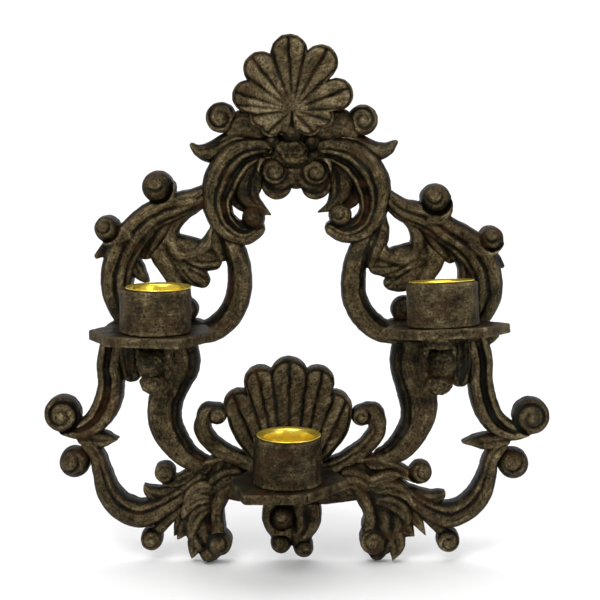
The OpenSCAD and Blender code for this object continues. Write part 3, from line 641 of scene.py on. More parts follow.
            line("leaf", [[-84, -291, 5], [-100, -297, 7.5], [-114, -300, 7.5], [-123, -297, 5],
                 [-128, -291, 0.5]], lift=-3, drops=(0, 3)),
            line("round", [[-96, -310, 4], [-108, -321, 5], [-117, -331, 5]], lift=-3)],
        volutes=[roundel(-122, -338, 9.5, rise=0.5, turns=1.2, start=60)]),
    "lower_scroll_right": section(
        lines=[
            line("split", [[173, -258, 6.5], [165, -268, 6.5], [162, -283, 8], [156, -299, 10],
                 [145, -311, 10.5], [129, -317, 11], [112, -311, 9], [95, -299, 7.5], [79, -285, 7]],
                 drops=(4, 0)),
            line("leaf", [[83, -292, 5], [100, -299, 6.5], [114, -303, 6.5], [122, -301, 5],
                 [127, -297, 0.5]], lift=-3, drops=(0, 3)),
            line("round", [[106, -313, 4], [117, -323, 5], [125, -331, 5]], lift=-3)],
        volutes=[roundel(130, -339, 10, rise=0.5, turns=1.2, start=60)]),
    "hook_leaf_left": section(
        lines=[
            line("hollow", [[-109, -287, 4], [-99, -287, 5], [-85, -280, 5.5], [-70, -273, 6.5],
                 [-55, -271, 6.5]])], volutes=[roundel(-110, -280, 9, rise=1.5, turns=1.1)]),
    "hook_leaf_right": section(
        lines=[
            line("hollow", [[104, -286, 4], [92, -280, 5], [80, -274, 5.5], [66, -271, 6.5],
                 [50, -273, 6.5]])], balls=[roundel(106, -280, 10, rise=1.5, turn=150, knob=0.55)]),
    "foot_leaf_left": section(
        lines=[
            line("veined", [[-60, -280, 12], [-68, -294, 15], [-77, -306, 16.5], [-81, -320, 16],
                 [-77, -334, 14], [-72, -345, 11.5], [-72, -351, 8]], lift=-4, drops=(0, 6)),
            line("leaf", [[-81, -329, 10], [-85, -343, 6.5], [-88, -355, 0.5]], lift=-5, drops=(0, 5)),
            line("leaf", [[-87, -308, 5], [-97, -321, 5], [-103, -336, 0.5]], lift=-8, drops=(0, 5)),
            line("leaf", [[-84, -313, 7.5], [-92, -325, 7.5], [-100, -338, 0.5]], lift=-5, drops=(0, 5)),
            line("leaf", [[-66, -292, 4], [-78, -290, 6], [-88, -296, 5], [-93, -303, 1]], drops=(4, 2),
                 fade=10),
            line("leaf", [[-70, -300, 4], [-82, -300, 6.5], [-90, -307, 5], [-94, -315, 1]], lift=0.5,
                 drops=(4, 2), fade=10),
            line("leaf", [[-72, -308, 4], [-81, -312, 7], [-86, -322, 6], [-88, -332, 1]], drops=(3, 2),
                 fade=10),
            line("veined", [[-44, -282, 8], [-58, -283, 10.5], [-70, -292, 10]], lift=0.5, drops=(6, 3)),
            line("round", [[-56, -285, 6], [-63, -298, 6], [-66, -313, 6], [-65, -328, 6], [-68, -343, 8],
                 [-74, -350, 6]], drops=(5, 3))],
        volutes=[roundel(-64, -340, 10.5, turns=1.1, start=-20, hand=-1)]),
    "foot_leaf_right": section(
        lines=[
            line("veined", [[54, -282, 12], [65, -296, 15], [73, -308, 16.5], [77, -320, 16],
                 [75, -334, 13], [71, -345, 10.5], [70, -351, 7]], lift=-4, drops=(0, 6)),
            line("leaf", [[82, -329, 10], [86, -343, 7.5], [83, -356, 0.5]], lift=-4, drops=(0, 5)),
            line("leaf", [[92, -308, 5], [103, -321, 5], [111, -335, 0.5]], lift=-8, drops=(0, 5)),
            line("leaf", [[82, -315, 7.5], [92, -327, 8], [101, -335, 0.5]], lift=-5, drops=(0, 5)),
            line("leaf", [[56, -288, 4], [68, -284, 6], [80, -280, 5.5], [88, -280, 1]], drops=(4, 2),
                 fade=10),
            line("leaf", [[66, -294, 4], [78, -290, 7], [90, -294, 6], [98, -303, 1]], lift=0.5,
                 drops=(4, 2), fade=10),
            line("leaf", [[68, -302, 4], [80, -303, 7], [90, -310, 6], [95, -320, 1]], drops=(3, 2),
                 fade=10),
            line("veined", [[36, -284, 8], [50, -283, 10.5], [64, -291, 10]], lift=0.5, drops=(6, 3)),
            line("round", [[48, -288, 6], [58, -300, 6], [63, -315, 5], [62, -327, 6]], drops=(5, 3))],
        volutes=[roundel(66, -338, 11.5, turns=1.1, start=-20, hand=-1)]),
    "base_rail": section(
        lines=[
            line("plain", [[-58, -289, 13], [-31, -293, 14], [-4, -293, 14], [23, -293, 14],
                 [48, -291, 13]])]),
    "lower_shell": section(),
    "centre_drop": section(
        lines=[
            line("leaf", [[7, -302, 10], [10, -313, 12.5], [9, -325, 9.5], [4, -335, 6]], lift=-1,
                 drops=(0, 3)),
            line("round", [[-19, -300, 5], [-22, -312, 5.5], [-20, -323, 5.5], [-12, -331, 5]], lift=-3),
            line("round", [[-9, -330, 10], [-12, -341, 9]], lift=-4),
            line("leaf", [[3, -330, 9], [7, -345, 8.5]], lift=-5)],
        discs=[(-3, -312, 24, 12), (-3, -318, 25.3, 12)],
        balls=[
            roundel(-10.5, -317, 10.5, crease=0.8, dark=2.4), roundel(-12, -341, 8.5, rise=-3.0, crease=0.6),
            roundel(8, -345, 7.5, rise=-2.0, crease=1.0, turn=60, dark=0.6)]),
    "shell_hook_left": section(
        lines=[
            line("tongue", [[-76, -232, 6.5], [-78, -243, 7.5], [-71, -254, 7.5], [-58, -264, 7.5],
                 [-42, -271, 7.5], [-28, -276, 6.5]]),
            line("round", [[-77, -235, 6.5], [-74, -228.5, 8], [-66, -229.5, 9]], lift=0.5)],
        volutes=[roundel(-65, -230.5, 7.5, rise=2.0, turns=1.0, start=150)]),
    "shell_hook_right": section(
        lines=[
            line("split", [[66, -232, 6.5], [69, -244, 7.5], [60, -257, 7.5], [47, -267, 7.5],
                 [34, -274, 7.5], [20, -277, 6.5]]),
            line("round", [[70, -237, 7], [66, -229, 8.5], [56, -231, 9]], lift=0.5)],
        volutes=[roundel(55.5, -231, 7.5, rise=2.0, turns=1.0, start=150)]),
}


def outline_distance(xx, zz, name):
    """Signed distance to another section's outline."""
    if name in SHELLS:
        return SHELLS[name].distance(xx, zz)
    if name == "crest_rosette":
        return np.hypot(xx - ROSETTE_X, zz - ROSETTE_Z) - ROSETTE_R
    spec = SECTIONS[name]
    dist = np.full(xx.shape, FAR)
    for _, points, _ in spec["lines"]:
        dist = np.minimum(dist, sweep(xx, zz, points)[0])
    for x, z, r, *_ in [*spec["discs"], *spec["balls"], *spec["volutes"]]:
        dist = np.minimum(dist, np.hypot(xx - x, zz - z) - r)
    return dist


def carved(name, spec, seed):
    """The face of one section, built up from its parts and then worn."""
    thickness, _, others = layer(name)
    rel = Relief(name, thickness, seed)
    if name in SHELLS:
        SHELLS[name].carve(rel)
    for x, z, r, height in spec["discs"]:
        rel.disc(x, z, r, height)
    for profile, points, shape in spec["lines"]:
        rel.strand(profile, points, **shape)
    for x, z, r, shape in spec["balls"]:
        rel.ball(x, z, r, **shape)
    for x, z, r, shape in spec["volutes"]:
        rel.volute(x, z, r, **shape)
    for points in spec["grooves"]:
        rel.groove(points)
    rel.cut_beside(others)
    rel.weather()
    return rel


# ---------------------------------------------------------------- fields to meshes
CRUMB = 300              # loose bits with fewer points than this are dropped
LEVELS = 3.0             # a field is stored this many grid steps either side of the surface
REACH = 8.0              # how deep a field is followed when its corners are looked for, mm


def box_blur(field, reach):
    """Three-dimensional running mean, taken twice along each axis."""
    for axis in (0, 0, 1, 1, 2, 2):
        field = running_mean(field, axis, reach).astype(np.float32)
    return field


def without_crumbs(points, quads):
    """Keeps only the large connected bodies."""
    label = np.arange(len(points))
    a, b = quads.ravel(), np.roll(quads, -1, axis=1).ravel()
    while True:
        lowest = np.minimum(label[a], label[b])
        if np.array_equal(label[a], lowest) and np.array_equal(label[b], lowest):
            break
        np.minimum.at(label, label[a], lowest)
        np.minimum.at(label, label[b], lowest)
        label = label[label]
    size = np.bincount(label, minlength=len(points))
    keep = size[label] >= CRUMB
    order = np.cumsum(keep) - 1
    return points[keep], order[quads[keep[quads[:, 0]]]]


def sampled(grid, places, low):
    """Values of a grid (two or three dimensional) at places in mm, between its cells."""
    at = (places - low)/PITCH
    base = np.clip(np.floor(at).astype(int), 0, np.array(grid.shape) - 2)
    part = np.clip(at - base, 0, 1)
    total = 0.0
    for corner in np.ndindex(*(2,)*grid.ndim):
        weight = np.prod([part[:, k] if c else 1 - part[:, k] for k, c in enumerate(corner)], axis=0)
        total = total + weight*grid[tuple(base[:, k] + c for k, c in enumerate(corner))]
    return total


def placed(name, data):
    """A new object in the scene."""
    thing = bpy.data.objects.new(name, data)
    bpy.context.scene.collection.objects.link(thing)
    return thing


def meshed(name, field, low):
    """A thinned mesh round the region where the field is negative, in metres, and its points in mm."""
    grid = openvdb.FloatGrid(background=LEVELS)
    grid.copyFromArray(np.clip(field/PITCH, -LEVELS, LEVELS).astype(np.float32))
    points, _, quads = grid.convertToPolygons(isovalue=0.0, adaptivity=0)
    points, quads = without_crumbs(points.astype(float)*PITCH + low, quads.astype(np.int64))
    a, b, c = (points[quads[:, k]] for k in (0, 1, 2))
    if np.einsum("ij,ij->i", a, np.cross(b, c)).sum() < 0:
        quads = quads[:, ::-1]
    mesh = bpy.data.meshes.new(name)
    mesh.from_pydata((points*MM).tolist(), [], quads.tolist())
    piece = placed(name, mesh)
    thin = piece.modifiers.new("thin", "DECIMATE")
    thin.ratio = KEEP
    evaluated = piece.evaluated_get(bpy.context.evaluated_depsgraph_get())
    final = bpy.data.meshes.new_from_object(evaluated)
    piece.modifiers.clear()
    piece.data = final
    bpy.data.meshes.remove(mesh)
    final.name = name
    final.shade_smooth()
    flat = np.empty(len(final.vertices)*3)
    final.vertices.foreach_get("co", flat)
    return piece, flat.reshape(-1, 3)/MM


def note(piece, name, values):
    """Stores a value, or a vector, at every point of a piece for its material."""
    kind = "FLOAT" if values.ndim == 1 else "FLOAT_VECTOR"
    layer = piece.data.attributes.new(name, kind, "POINT")
    layer.data.foreach_set("value" if values.ndim == 1 else "vector", values.astype(np.float32).ravel())


def corners(field, places, low):
    """How far each place stands out from its surroundings: positive on arrises, negative in creases."""
    near = np.clip(field, -REACH, REACH).astype(np.float32)
    fine = sampled(box_blur(near, 1), places, low)
    wide = sampled(box_blur(near, max(2, round(2.2/PITCH))), places, low)
    return 0.6*fine/PITCH + 0.5*wide


def settle(piece, node, tone):
    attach(piece, "root")
    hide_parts(node)
    piece.data.materials.clear()
    piece.data.materials.append(WOOD[tone])


# Rooms behind the crest for the keyhole plate and the wall screw's head, as low and high corners in mm
HANGER_POCKETS = [((-20.1, -1.7, -9.1), (20.1, 2.0, 17.1)), ((-8.0, -8.0, -8.0), (8.0, 2.0, 16.0))]
SCREW_HOLE_R, SCREW_HOLE_DEPTH = 3.6, 2.4
ARRIS, BACK_ARRIS = 1.1, 0.7     # rounding of a section's edges at the front and the back, mm
STEEPEST = 3.0                   # slopes beyond this are treated as this steep
NEAR, WIDE = 3.5, 9.0            # reaches over which a face is judged to stand proud, mm


def box_distance(xx, yy, zz, low, high):
    """Distance outside a box, negative inside it; short at the corners."""
    mid, half = (np.array(low) + high)/2, (np.array(high) - low)/2
    q = [np.abs(c - m) - h for c, m, h in zip((xx, yy, zz), mid, half)]
    return np.maximum(np.maximum(q[0], q[1]), q[2])


def build_relief(rel, shift, back=0.0, holes=(), pockets=()):
    """Turns one carved face into a solid section with its back on the wall plane."""
    solid = rel.outline < 1.0
    for _ in range(2):
        padded = np.pad(rel.height, 1, mode="edge")
        beside = padded[2:, 1:-1], padded[:-2, 1:-1], padded[1:-1, 2:], padded[1:-1, :-2]
        rel.height = sum(beside, 4*rel.height)/8
    top = float(rel.height[solid].max())
    ys = np.arange(-(top + MARGIN), -back + MARGIN, PITCH)
    slope = np.hypot(*np.gradient(rel.height, PITCH))
    steep = np.sqrt(1 + np.minimum(slope, STEEPEST)**2)
    xx, yy, zz = (g.astype(np.float32) for g in np.meshgrid(rel.xx[:, 0], ys, rel.zz[0], indexing="ij"))
    waver = ripple((xx, yy*1.4, zz), 6.0, rel.seed + 51, waves=5)
    side = rel.outline[:, None, :] + 0.22*waver
    front = (-yy - rel.height[:, None, :])/steep[:, None, :]
    field = smooth_max(smooth_max(front, side, ARRIS), yy + back + 0.06*waver, BACK_ARRIS)
    for low, high in pockets:
        field = np.maximum(field, -box_distance(xx, yy, zz, low, high))
    for x, z in holes:
        hole = np.maximum(np.hypot(xx - x, zz - z) - SCREW_HOLE_R, -yy - SCREW_HOLE_DEPTH)
        field = np.maximum(field, -hole)
    low = np.array([rel.xx[0, 0], ys[0], rel.zz[0, 0]])
    piece, places = meshed("carved_" + rel.node, field, low)
    flat, at = low[[0, 2]], places[:, [0, 2]]
    # The relief value for the colour: proud parts paler as dry-brushed tan; the carved field's darkening and
    # the walls below the face darker, as dark stain and painted shade.
    over_near = rel.height - blurred(rel.height, solid, round(NEAR/PITCH))
    over_wide = rel.height - blurred(rel.height, solid, round(WIDE/PITCH))
    raised = sampled(over_near, at, flat) + 0.35*sampled(over_wide, at, flat)
    # Painted shade: darker the further a wall drops below the face.
    sunk = np.clip(sampled(rel.height, at, flat) + places[:, 1] - 0.8, 0, 6)
    note(piece, "relief", 0.5*raised - sampled(rel.cut, at, flat) - 0.7*sunk)
    note(piece, "corner", corners(field, places, low))
    # A per-piece shift of the colour, lighter or darker.
    note(piece, "shift", np.full(len(places), shift))
    grain = np.stack([sampled(rel.along, at, flat), sampled(rel.across, at, flat), places[:, 1]], axis=1)
    note(piece, "grain", grain)
    return piece


# ---------------------------------------------------------------- solid pieces: shelves, blocks, buds
CUP_REACH, SHELF_T, SEAT_FACE = 55.0, 8.7, 18.08
PLACES = {  # block x, cup x, shelf top, block height, forward and sideways lean in degrees
    "left": (-110.5, -108.0, -151.5, 35.0, 0.0, 0.0),
    "right": (118.0, 118.0, -147.0, 35.0, 5.0, 2.5),
    "lower": (-6.0, -5.0, -274.5, 38.0, 0.0, 0.0),
}
PLANS = {
    "left": [(-150, -15), (-166, -46), (-146, -80), (-90, -90), (-62, -52), (-74, -15)],
    "right": [(158, -15), (172, -50), (148, -84), (96, -84), (70, -50), (82, -15)],
    "lower": [(-36, -15), (-54, -50), (-40, -93), (8, -93), (44, -48), (30, -15)],
}
BLOCK_R, BLOCK_SIDES, POCKET_R, POCKET_DEPTH = 29.0, 12, 21.6, 17.0
BLOCK_GAP = 0.08         # glue under a block, mm
FLARE = {"left": 0.6, "right": 1.0, "lower": 1.7}   # how far a block spreads at its foot, mm
FLARE_REACH = 3.0        # height over which the spread dies away, mm
TAPER = {"left": 0.0, "right": 0.0, "lower": 0.03}  # how much narrower a block is at its top, as a share
# Colour made lighter, or darker where the value is below nothing
SHELF_TONE_SHIFT = {"left": 0.0, "right": 0.0, "lower": -0.08}
BLOCK_TONE_SHIFT = {"left": 0.0, "right": 0.02, "lower": -0.13}
SHELF_SCREW_STEP = 22.0  # from the middle of a shelf to each of its screws, mm


def lean(side):
    """The turn from upright to how this side's shelf stands, and the point it is turned about."""
    block_x, _, top, _, pitch, roll = PLACES[side]
    p, r = math.radians(-pitch), math.radians(-roll)
    about_x = np.array([[1, 0, 0], [0, math.cos(p), -math.sin(p)], [0, math.sin(p), math.cos(p)]])
    about_y = np.array([[math.cos(r), 0, math.sin(r)], [0, 1, 0], [-math.sin(r), 0, math.cos(r)]])
    return about_y @ about_x, np.array([block_x, -CUP_REACH, top])


def upright(coords, side):
    """Places as they would be if this side's shelf stood upright."""
    turn, pivot = lean(side)
    shifted = [c - p for c, p in zip(coords, pivot)]
    return [sum(turn[k][j]*shifted[k] for k in range(3)) + pivot[j] for j in range(3)]


def node_grid(node):
    low, high = mm_box(node)
    axes = [np.arange(a - MARGIN, b + MARGIN, PITCH) for a, b in zip(low, high)]
    grids = [g.astype(np.float32) for g in np.meshgrid(*axes, indexing="ij")]
    return grids, np.array([a[0] for a in axes])


def polygon_distance(x, y, corners_xy):
    best, inside = np.full(x.shape, np.inf), np.zeros(x.shape, bool)
    for (ax, ay), (bx, by) in zip(corners_xy, [*corners_xy[1:], corners_xy[0]]):
        ex, ey = bx - ax, by - ay
        t = np.clip(((x - ax)*ex + (y - ay)*ey)/(ex*ex + ey*ey), 0, 1)
        best = np.minimum(best, np.hypot(x - ax - t*ex, y - ay - t*ey))
        crosses = (ay > y) != (by > y)
        inside ^= crosses & (x < ax + (y - ay)*ex/(ey if ey else 1e-9))
    return np.where(inside, -best, best)


def ellipsoid(x, y, z, centre, radii):
    q = np.sqrt(sum(((c - m)/r)**2 for c, m, r in zip((x, y, z), centre, radii)))
    return (q - 1)*min(radii)


def build_solid(node, tone, field, low, name, grain=None, shift=0.0):
    piece, places = meshed(name, field, low)
    note(piece, "corner", corners(field, places, low))
    note(piece, "relief", np.full(len(places), -0.5))
    note(piece, "shift", np.full(len(places), shift))
    note(piece, "grain", places if grain is None else grain(places))
    settle(piece, node, tone)


def build_shelf(side, seed):
    node = "shelf_" + side
    (xx, yy, zz), low = node_grid(node)
    x, y, z = upright((xx, yy, zz), side)
    top = PLACES[side][2]
    shift = ripple((x, y, z*0.6), 11.0, seed)
    plan = polygon_distance(x, y, PLANS[side]) + 0.35*shift + 0.12*ripple((x, y, z*2.5), 2.6, seed + 1)
    flat = np.abs(z - top + SHELF_T/2) - SHELF_T/2 + 0.14*ripple((x, y), 18.0, seed + 2)
    flat = flat + 0.07*ripple((x, y*3), 5.0, seed + 3) + 0.25
    field = smooth_max(plan, flat, 1.5)
    field = smooth_max(field, yy + SEAT_FACE, 0.5)
    if side == "lower":
        crack = np.abs((x - 8) + 0.55*(y + 86)) - 0.45   # an open split in from the front edge
        field = np.maximum(field, -np.maximum(crack, np.abs(x - 6) - 9))
    build_solid(node, "sawn", field, low, "sawn_" + node, shift=SHELF_TONE_SHIFT[side])


def build_block(side, seed):
    node = "candle_block_" + side
    (xx, yy, zz), low = node_grid(node)
    x, y, z = upright((xx, yy, zz), side)
    block_x, cup_x, top, height, _, _ = PLACES[side]
    narrowing = 1 + TAPER[side]*np.clip((z - top)/height, 0, 1)
    dx, dy = (x - block_x)*narrowing, (y + CUP_REACH)*narrowing
    apothem = BLOCK_R*math.cos(math.pi/BLOCK_SIDES)
    angles = [2*math.pi*k/BLOCK_SIDES for k in range(BLOCK_SIDES)]
    facets = [dx*math.cos(a) + dy*math.sin(a) - apothem for a in angles]
    wall = facets[0]
    for facet in facets[1:]:
        wall = smooth_max(wall, facet, 2.2)
    cutting = ripple((dx*0.9, dy*0.9, z*0.45), 7.0, seed)
    wall = wall + 0.28*cutting + 0.12*ripple((x, y, z), 2.8, seed + 1)
    wall = wall - FLARE[side]*np.exp(-np.maximum(z - top, 0)/FLARE_REACH)
    middle = top + BLOCK_GAP + height/2
    ends = np.abs(z - middle) - height/2 + 0.15 + 0.1*ripple((x, y), 9.0, seed + 2)
    field = smooth_max(wall, ends, 2.0)
    pocket = np.maximum(np.hypot(x - cup_x, y + CUP_REACH) - POCKET_R, top + height - POCKET_DEPTH - z)
    field = smooth_max(field, -pocket, 0.5)
    build_solid(node, "sawn", field, low, "turned_" + node,
                grain=lambda places: places[:, [0, 2, 1]], shift=BLOCK_TONE_SHIFT[side])


def build_rosette(seed):
    """The rough boss under the crest shell: an upper and a lower swelling with a dent across."""
    node = "crest_rosette"
    (xx, yy, zz), low = node_grid(node)
    dx, dz = xx - ROSETTE_X, zz - ROSETTE_Z
    d = ellipsoid(dx, yy + 16, dz, (0, 0, 1.5), (13.2, 13.4, 8.0))
    d = smooth_min(d, ellipsoid(dx, yy + 16, dz, (0, 0, -5.5), (14.0, 9.0, 4.5)), 2.0)
    d = d + 2.4*np.exp(-(dx/7.5)**2 - ((dz - 1)/4.0)**2)
    d = smooth_max(d, yy + 16.1, 1.0)
    d = d + 0.5*ripple((xx, yy, zz), 7.0, seed) + 0.34*ripple((xx, yy, zz), 2.9, seed + 1, waves=12)
    build_solid(node, "carved", d, low, "carved_" + node)


BUDS = {  # under-shelf buds: centre x, top height
    "left": (-115.0, -160.4),
    "right": (117.0, -161.0),
}


def build_corbel(side, seed):
    """Two stacked buds with a leaf on either hand, under the shelf and against the seat."""
    node = "corbel_" + side
    (xx, yy, zz), low = node_grid(node)
    cx, top = BUDS[side]
    sign = 1.0 if side == "left" else -1.0
    parts = [
        ((cx - 2*sign, -32, top - 20), (11.5, 11, 12.5)),
        ((cx + 10*sign, -27, top - 19), (4.6, 9, 19)),
        ((cx - 12*sign, -25, top - 17), (3.5, 7, 13)),
        ((cx - 5*sign, -25, top - 28), (8.5, 7, 9)),
        ((cx - 1*sign, -29, top - 38), (11.5, 10, 9.5)),
        ((cx + 6*sign, -26, top - 41), (5.5, 7, 6.5)),
    ]
    field = np.full(xx.shape, 20.0)
    for centre, radii in parts:
        field = smooth_min(field, ellipsoid(xx, yy, zz, centre, radii), 0.5)
    collar = np.maximum(np.hypot(xx - cx, yy + 27) - 13.0, np.abs(zz - top + 4) - 4)
    field = smooth_min(field, collar, 0.8)
    stem = np.maximum(np.hypot(xx - cx, yy + 22) - 9, np.abs(zz - top + 22) - 22)
    field = smooth_min(field, stem, 0.8)
    field = smooth_max(field, yy + SEAT_FACE, 0.5)
    field = smooth_max(field, zz - top, 0.5)
    field = field + 0.5*ripple((xx, yy, zz), 6.0, seed) + 0.4*ripple((xx, yy, zz), 2.6, seed + 1)
    # Painted light: the corbel's colour is lifted a little to make up for the shade it sits in under the
    # shelf.
    build_solid(node, "carved", field, low, "carved_" + node, shift=0.02)


CUP_R, CUP_WALL, CUP_DEPTH, FLANGE_R = 20.5, 0.8, 17.0, 26.0
CUP_SIDES = 144
FOOT_R, HOLLOW_R = 3.0, 2.6   # rounding of the bowl's bottom corner, outside and inside, mm
CUP_CLEARANCE = 0.2           # between the flange and the block, mm


def build_cup(side):
    """Spun brass cup: a deep bowl with a rounded bottom corner and a wide lip rolled over at its edge."""
    _, cup_x, top, height, _, _ = PLACES[side]
    outer = CUP_R + CUP_WALL
    floor = -CUP_DEPTH + 1.1
    profile = [(0.0, floor), (outer - FOOT_R, floor)]
    profile += [(outer - FOOT_R + FOOT_R*math.sin(a), floor + FOOT_R - FOOT_R*math.cos(a))
                for a in np.linspace(0, math.pi/2, 9)[1:]]
    profile += [(outer, -1.2), (outer + 0.25, -0.35), (outer + 0.9, 0.02), (FLANGE_R - 0.9, 0.02)]
    profile += [(FLANGE_R - 0.62 + 0.6*math.cos(a), 0.62 + 0.58*math.sin(a))
                for a in np.linspace(-math.pi/2, math.pi/2, 11)]
    profile += [(CUP_R + 3.6, 0.95), (CUP_R + 2.4, 0.68), (CUP_R + 1.3, 0.3), (CUP_R + 0.5, -0.6)]
    profile += [(CUP_R, -2.0), (CUP_R - 0.25, -CUP_DEPTH + 6.0)]
    inner, bottom = CUP_R - 0.3 - HOLLOW_R, floor + CUP_WALL + HOLLOW_R
    profile += [(inner + HOLLOW_R*math.cos(a), bottom - HOLLOW_R*math.sin(a))
                for a in np.linspace(0, math.pi/2, 9)]
    profile += [(9.0, floor + CUP_WALL + 0.15), (0.0, floor + CUP_WALL + 0.1)]
    turn, pivot = lean(side)
    base = np.array([cup_x, -CUP_REACH, top + height + CUP_CLEARANCE])
    points, faces = [], []
    for k in range(CUP_SIDES):
        a = 2*math.pi*k/CUP_SIDES
        for r, z in profile[1:-1]:
            local = base + [r*math.cos(a), r*math.sin(a), z]
            points.append(turn @ (local - pivot) + pivot)
    rows = len(profile) - 2
    for k in range(CUP_SIDES):
        a, b = k*rows, (k + 1) % CUP_SIDES*rows
        for j in range(rows - 1):
            faces.append((a + j, b + j, b + j + 1, a + j + 1))
    for end, row in ((0, 0), (-1, rows - 1)):
        r, z = profile[end]
        points.append(turn @ (base + [0, 0, z] - pivot) + pivot)
        hub = len(points) - 1
        for k in range(CUP_SIDES):
            a, b = k*rows + row, (k + 1) % CUP_SIDES*rows + row
            faces.append((hub, b, a) if end == 0 else (hub, a, b))
    name = "spun_cup_" + side
    mesh = bpy.data.meshes.new(name)
    mesh.from_pydata([tuple(p*MM) for p in points], [], faces)
    mesh.shade_smooth()
    mesh.materials.append(BRASS)
    piece = placed(name, mesh)
    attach(piece, "cup_" + side)
    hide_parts("brass_cup_" + side)


# ---------------------------------------------------------------- materials
class Shader:
    """A small helper for wiring a material's nodes."""

    def __init__(self, name):
        self.material = bpy.data.materials.new(name)
        self.material.use_nodes = True
        self.tree = self.material.node_tree
        self.surface = self.tree.nodes["Principled BSDF"]
        place = self.add("ShaderNodeTexCoord")
        self.mm = self.scaled(place.outputs["Object"], 1/MM)

    def add(self, kind, **settings):
        node = self.tree.nodes.new(kind)
        for key, value in settings.items():
            setattr(node, key, value)
        return node

    def join(self, source, socket):
        if isinstance(source, (int, float)):
            socket.default_value = source
        else:
            self.tree.links.new(source, socket)

    def scaled(self, source, scale):
        node = self.add("ShaderNodeVectorMath", operation="MULTIPLY")
        self.join(source, node.inputs[0])
        node.inputs[1].default_value = (scale,)*3 if np.isscalar(scale) else scale
        return node.outputs[0]

    def maths(self, operation, *values, clamp=False):
        node = self.add("ShaderNodeMath", operation=operation, use_clamp=clamp)
        for value, socket in zip(values, node.inputs):
            self.join(value, socket)
        return node.outputs[0]

    def total(self, *terms):
        """Sum of (source, factor, centre) terms."""
        result = 0.0
        for source, factor, centre in terms:
            part = self.maths("MULTIPLY_ADD", source, factor, -factor*centre)
            result = part if isinstance(result, float) else self.maths("ADD", result, part)
        return result

    def noise(self, source, size, detail=3.0, rough=0.55, warp=0.0):
        node = self.add("ShaderNodeTexNoise")
        self.join(source, node.inputs["Vector"])
        node.inputs["Scale"].default_value = 1/size
        node.inputs["Detail"].default_value = detail
        node.inputs["Roughness"].default_value = rough
        node.inputs["Distortion"].default_value = warp
        return node.outputs["Fac"]

    def cells(self, source, size):
        node = self.add("ShaderNodeTexVoronoi")
        self.join(source, node.inputs["Vector"])
        node.inputs["Scale"].default_value = 1/size
        return node.outputs["Distance"]

    def span(self, source, low, high, to_low=0.0, to_high=1.0):
        node = self.add("ShaderNodeMapRange")
        self.join(source, node.inputs["Value"])
        for socket, value in zip(("From Min", "From Max", "To Min", "To Max"), (low, high, to_low, to_high)):
            node.inputs[socket].default_value = value
        return node.outputs[0]

    def attribute(self, name, vector=False):
        node = self.add("ShaderNodeAttribute", attribute_name=name)
        return node.outputs["Vector" if vector else "Fac"]

    def ramp(self, source, stops):
        node = self.add("ShaderNodeValToRGB")
        self.join(source, node.inputs[0])
        elements = node.color_ramp.elements
        while len(elements) < len(stops):
            elements.new(0.5)
        for element, (place, colour) in zip(elements, stops):
            element.position = place
            element.color = (*colour, 1)
        return node.outputs[0]

    def blend(self, factor, a, b):
        node = self.add("ShaderNodeMix", data_type="RGBA")
        self.join(factor, node.inputs["Factor"])
        for socket, value in zip((node.inputs[6], node.inputs[7]), (a, b)):
            if isinstance(value, tuple):
                socket.default_value = (*value, 1)
            else:
                self.join(value, socket)
        return node.outputs[2]

    def bump(self, height, distance, strength=1.0):
        node = self.add("ShaderNodeBump")
        self.join(height, node.inputs["Height"])
        node.inputs["Distance"].default_value = distance*MM
        node.inputs["Strength"].default_value = strength
        self.join(node.outputs[0], self.surface.inputs["Normal"])


# Linear colours of the finish, from the deepest carving, where dark stain is deepened by painted shade, to
# the rubbed crests, then two casts over them
PITCH_BLACK = (0.0028, 0.0020, 0.0005)
STAIN = (0.0105, 0.0074, 0.0024)
BROWN = (0.029, 0.0205, 0.0083)
UMBER = (0.056, 0.0405, 0.0185)
TAN = (0.098, 0.0735, 0.0360)
BUFF = (0.215, 0.172, 0.095)
RUST = (0.047, 0.019, 0.0065)
MOSS = (0.018, 0.0215, 0.0150)


